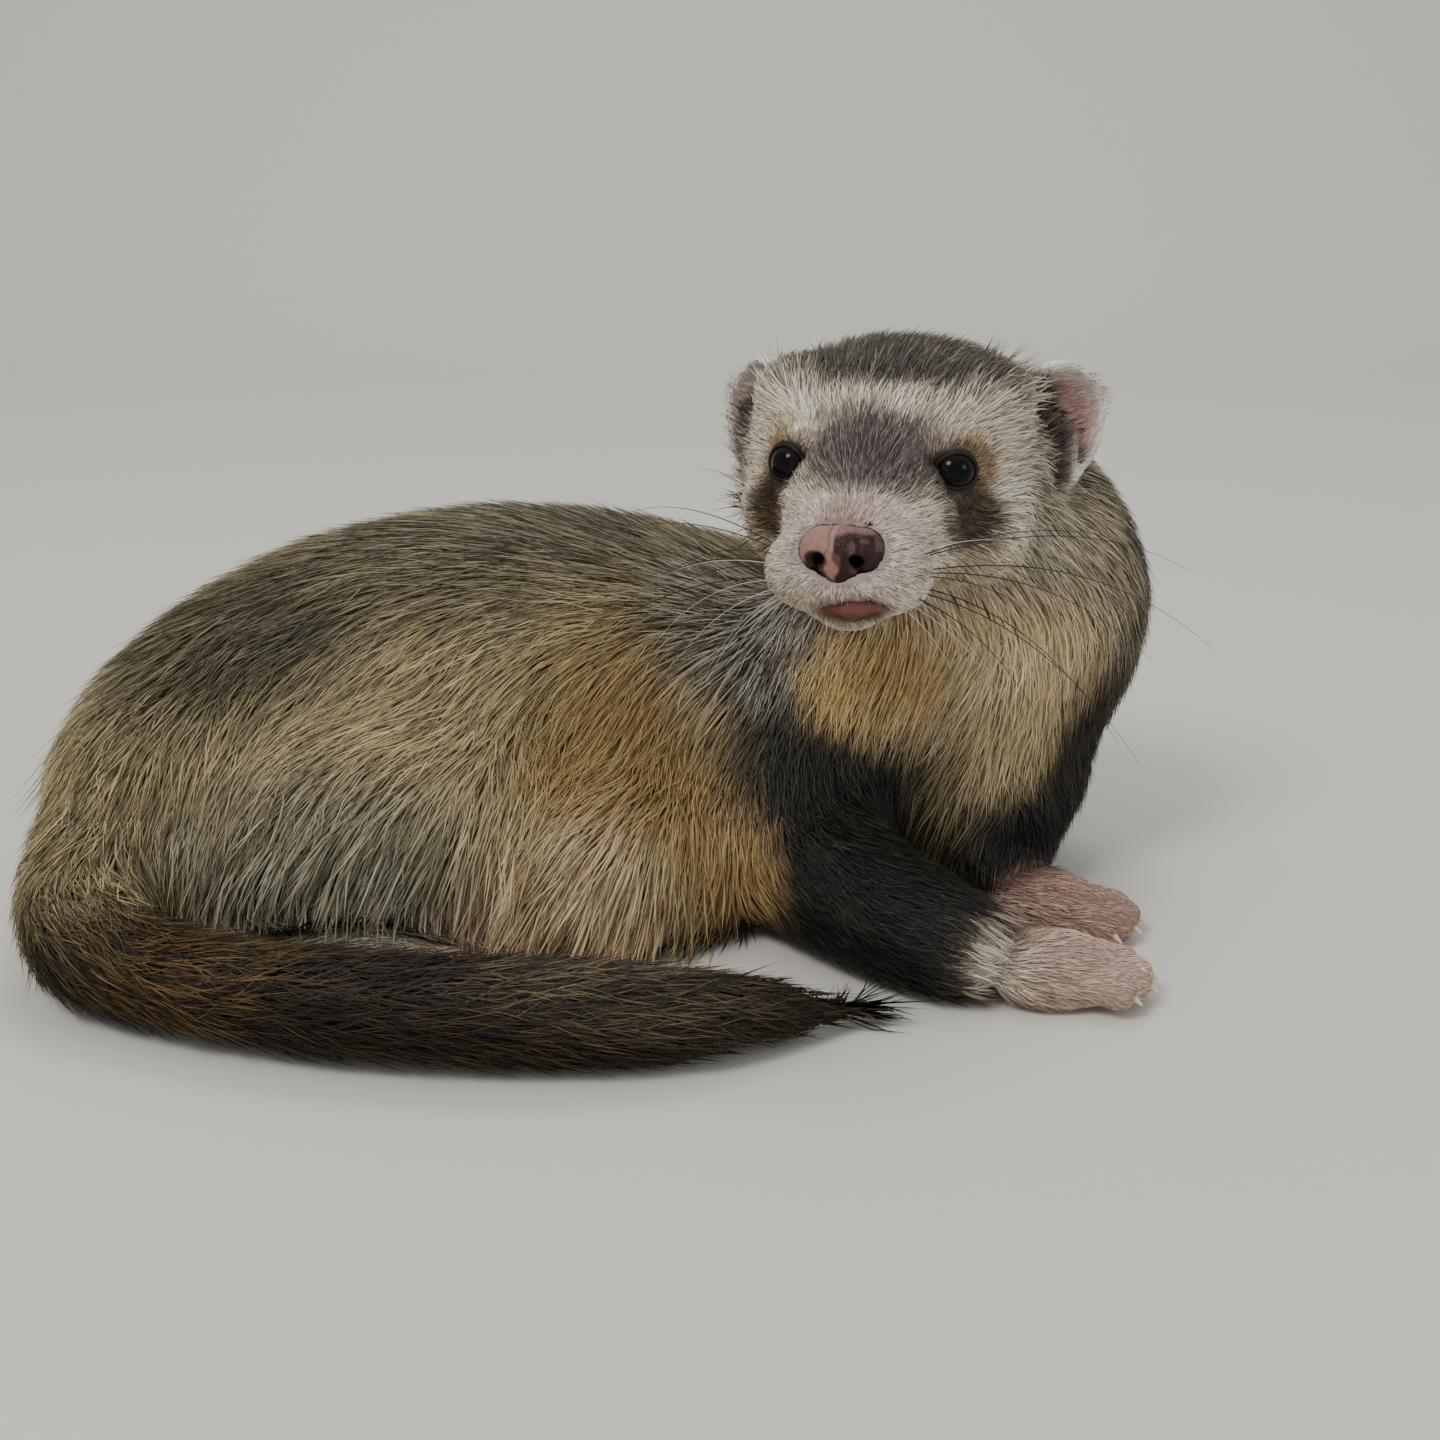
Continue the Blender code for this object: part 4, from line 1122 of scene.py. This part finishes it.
def build_nose(node):
    nose, points = smoothed("nose_pad", node, 0.22, 14, NOSE_GROWTH)
    local = in_head(points) - np.array(NOSE_PLACE)
    x = local[:, 0] + 0.8 * noise(local, 1.9, 21)
    z = local[:, 2] + 0.6 * noise(local, 1.6, 22)
    pink = smooth_step(-x, 0.8, 2.0) * smooth_step(z, -2.0, -0.6)
    pink = np.maximum(pink, (1 - smooth_step(np.abs(x + 0.7), 0.3, 0.9)) * smooth_step(z, -4.2, -3.4))
    pink = np.maximum(pink, 0.6 * smooth_step(z, 2.8, 3.8))
    pink = np.maximum(pink, 0.25 * smooth_step(noise(local, 1.2, 24), 0.15, 0.5))
    holes = np.full(len(points), 9.0)
    for sign in (-1, 1):
        off = (local - np.array(NOSTRIL_PLACE) * (sign, 1, 1)) / np.array(NOSTRIL_RADII)
        holes = np.minimum(holes, norm(off))
    pink = (pink * smooth_step(holes, 0.9, 1.35))[:, None]
    colours = NOSE_DARK + pink * (np.array(NOSE_PINK) - NOSE_DARK)
    # Painted shade: the nostrils darkened inside, where their hollows lie in shade
    colours *= (1 - 0.8 * (1 - smooth_step(holes, 0.5, 0.95)))[:, None]
    paint(nose.data, colours)
    material = tinted("Nose", 0.32, 0.2, 1600.0, 0.2)
    add_bump(material, 2600.0, 0.7, 0.25, 2.0)
    finish_piece(nose, material, "nose_skin", "nose")


def build_lip(node):
    lip, points = smoothed("lip", node, 0.25, 12)
    shade = 1 + 0.35 * noise(points, 1.3, 23)
    paint(lip.data, np.array(LIP_TONE) * shade[:, None])
    material = tinted("Lip", 0.3, 0.25, 1500.0, 0.15)
    add_bump(material, 2200.0, 0.5, 0.2)
    finish_piece(lip, material, "lip_skin", "lower_lip")


def build_claws(paw, nodes):
    """The paw's claws, smooth, pale horn."""
    for k in range(1, 6):
        name = f"{paw}_claw_{k}"
        claw, points = smoothed(f"horn_{paw}_{k}", nodes[name], 0.16, 6)
        reach = (points[:, 0] - points[:, 0].min()) / np.ptp(points[:, 0])
        paint(claw.data, CLAW_BASE + reach[:, None] * (np.array(CLAW_POINT) - CLAW_BASE))
        finish_piece(claw, CLAW_MATERIAL, "claw", name)


def build_whiskers(rng):
    """Long dark whiskers from the pads that curve down, with paler ones below them."""
    points, faces, colours = [], [], []
    done = 0
    for sign in (-1, 1):
        for row in range(4):
            for column in range(3):
                root = Vector((sign * (7.6 + 1.0 * column), -23.0 + 2.6 * column, -12.4 - 1.9 * row))
                up = 0.36 - 0.27 * row + rng.normal(0, 0.07)
                way = Vector((sign, 0.12 + 0.14 * column + rng.normal(0, 0.07), up)).normalized()
                length = (27 + 10.0 * column) * rng.uniform(0.8, 1.2) * (1.0 if row < 3 else 0.55)
                bend = Vector((-0.1 * sign, 0.3, -0.6 - 0.1 * row)) * length * rng.uniform(0.45, 0.75)
                pale = row == 3 or rng.random() < 0.12
                colour, thick = PALE_WHISKER if pale else DARK_WHISKER
                centres, radii = [], []
                for share in np.linspace(0, 1, 14):
                    at = root + way * length * share + bend * share ** 2.2
                    centres.append(HEAD_FRAME @ at)
                    radii.append(thick * (1 - 0.8 * share))
                own, sides = tube(centres, radii, 5)
                points.append(own)
                faces.append(sides + done)
                colours.append(np.repeat([colour], len(own), axis=0))
                done += len(own)
    piece = mesh_from("whiskers", np.vstack(points), np.vstack(faces), np.vstack(colours))
    finish_piece(piece, WHISKER_MATERIAL, "fur_face")


# Camera, floor and light

def set_stage():
    optics = bpy.data.cameras.new("camera")
    optics.lens = CAMERA_LENS
    optics.sensor_width = CAMERA_SENSOR
    optics.clip_start = 0.01
    optics.clip_end = 20
    camera = bpy.data.objects.new("camera", optics)
    bpy.context.scene.collection.objects.link(camera)
    camera.location = to_scene(CAMERA_PLACE)
    camera.rotation_euler = (math.radians(90 - CAMERA_DOWN), 0, 0)
    bpy.context.scene.camera = camera

    sweep = []
    for k in range(40):
        share = k / 39
        if share < 0.45:
            sweep.append((-1.2 + share / 0.45 * 1.9, 0.0))
        elif share < 0.8:
            turn = (share - 0.45) / 0.35 * math.pi / 2
            sweep.append((0.7 + 0.35 * math.sin(turn), 0.35 - 0.35 * math.cos(turn)))
        else:
            sweep.append((1.05, 0.35 + (share - 0.8) / 0.2 * 1.6))
    points, faces = [], []
    for y, z in sweep:
        points.append((-2.5, y, z))
        points.append((2.5, y, z))
    for k in range(len(sweep) - 1):
        faces.append((2 * k, 2 * k + 1, 2 * k + 3, 2 * k + 2))
    mesh = bpy.data.meshes.new("floor")
    mesh.from_pydata(points, [], faces)
    mesh.shade_smooth()
    floor = bpy.data.objects.new("floor", mesh)
    bpy.context.scene.collection.objects.link(floor)
    material, _, shader = new_material("Floor")
    shader.inputs["Base Color"].default_value = FLOOR_TONE
    shader.inputs["Roughness"].default_value = 0.9
    add_bump(material, 60.0, 0.1, 0.4)
    floor.data.materials.append(material)

    for name, place, size, power, colour in LIGHTS:
        data = bpy.data.lights.new(name, "AREA")
        data.shape = "DISK"
        data.size = size
        data.energy = power
        data.color = colour
        lamp = bpy.data.objects.new(name, data)
        lamp.location = place
        aim = Vector(LIGHT_AIM) - Vector(place)
        lamp.rotation_euler = aim.to_track_quat("-Z", "Y").to_euler()
        bpy.context.scene.collection.objects.link(lamp)
    world = bpy.data.worlds.new("world")
    world.use_nodes = True
    background = world.node_tree.nodes["Background"]
    background.inputs["Color"].default_value = SKY_TONE
    background.inputs["Strength"].default_value = SKY_STRENGTH
    bpy.context.scene.world = world


# All of it

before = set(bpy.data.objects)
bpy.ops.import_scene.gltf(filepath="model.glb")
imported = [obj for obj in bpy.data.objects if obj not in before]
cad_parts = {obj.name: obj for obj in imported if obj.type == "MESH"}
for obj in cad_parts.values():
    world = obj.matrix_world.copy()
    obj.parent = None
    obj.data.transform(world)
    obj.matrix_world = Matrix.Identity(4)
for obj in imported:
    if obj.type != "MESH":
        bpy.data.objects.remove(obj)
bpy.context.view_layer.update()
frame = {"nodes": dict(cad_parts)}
NODES = frame["nodes"]

eye_boxes = {side: np.array(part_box(f"eye_{side}")) / MM for side in SIDES}
eye_middles = {side: box.mean(axis=0) for side, box in eye_boxes.items()}
EYE_RADIUS = float(np.ptp(eye_boxes["left"], axis=0).mean() / 2)
SHIFT = np.zeros(3)
SHIFT[:2] = (eye_middles["left"] + eye_middles["right"])[:2] / 2 - np.array(EYES_MIDDLE)
EYE_CENTRES = {side: middle - SHIFT for side, middle in eye_middles.items()}

set_stage()

EYE_MATERIAL = tinted("Eye", 0.04, 0.13, 400.0, 0.1)
LID_MATERIAL = tinted("Lids", 0.5, 0.15)
CLAW_MATERIAL = tinted("Claw", 0.35, 0.5, 900.0, 0.1)
WHISKER_MATERIAL = tinted("Whisker", 0.4, 0.5, 300.0, 0.1)
COAT_MATERIAL = tinted("Coat", 0.6, 0.3, 500.0, 0.12)

skin = build_skin(NODES)
build_coat(skin)
for side in SIDES:
    build_eye(side)
    build_lids(side)
build_nose(NODES["nose"])
build_lip(NODES["lower_lip"])
for paw in PAW_NAMES:
    build_claws(paw, NODES)
build_whiskers(np.random.default_rng(SEED + 1))
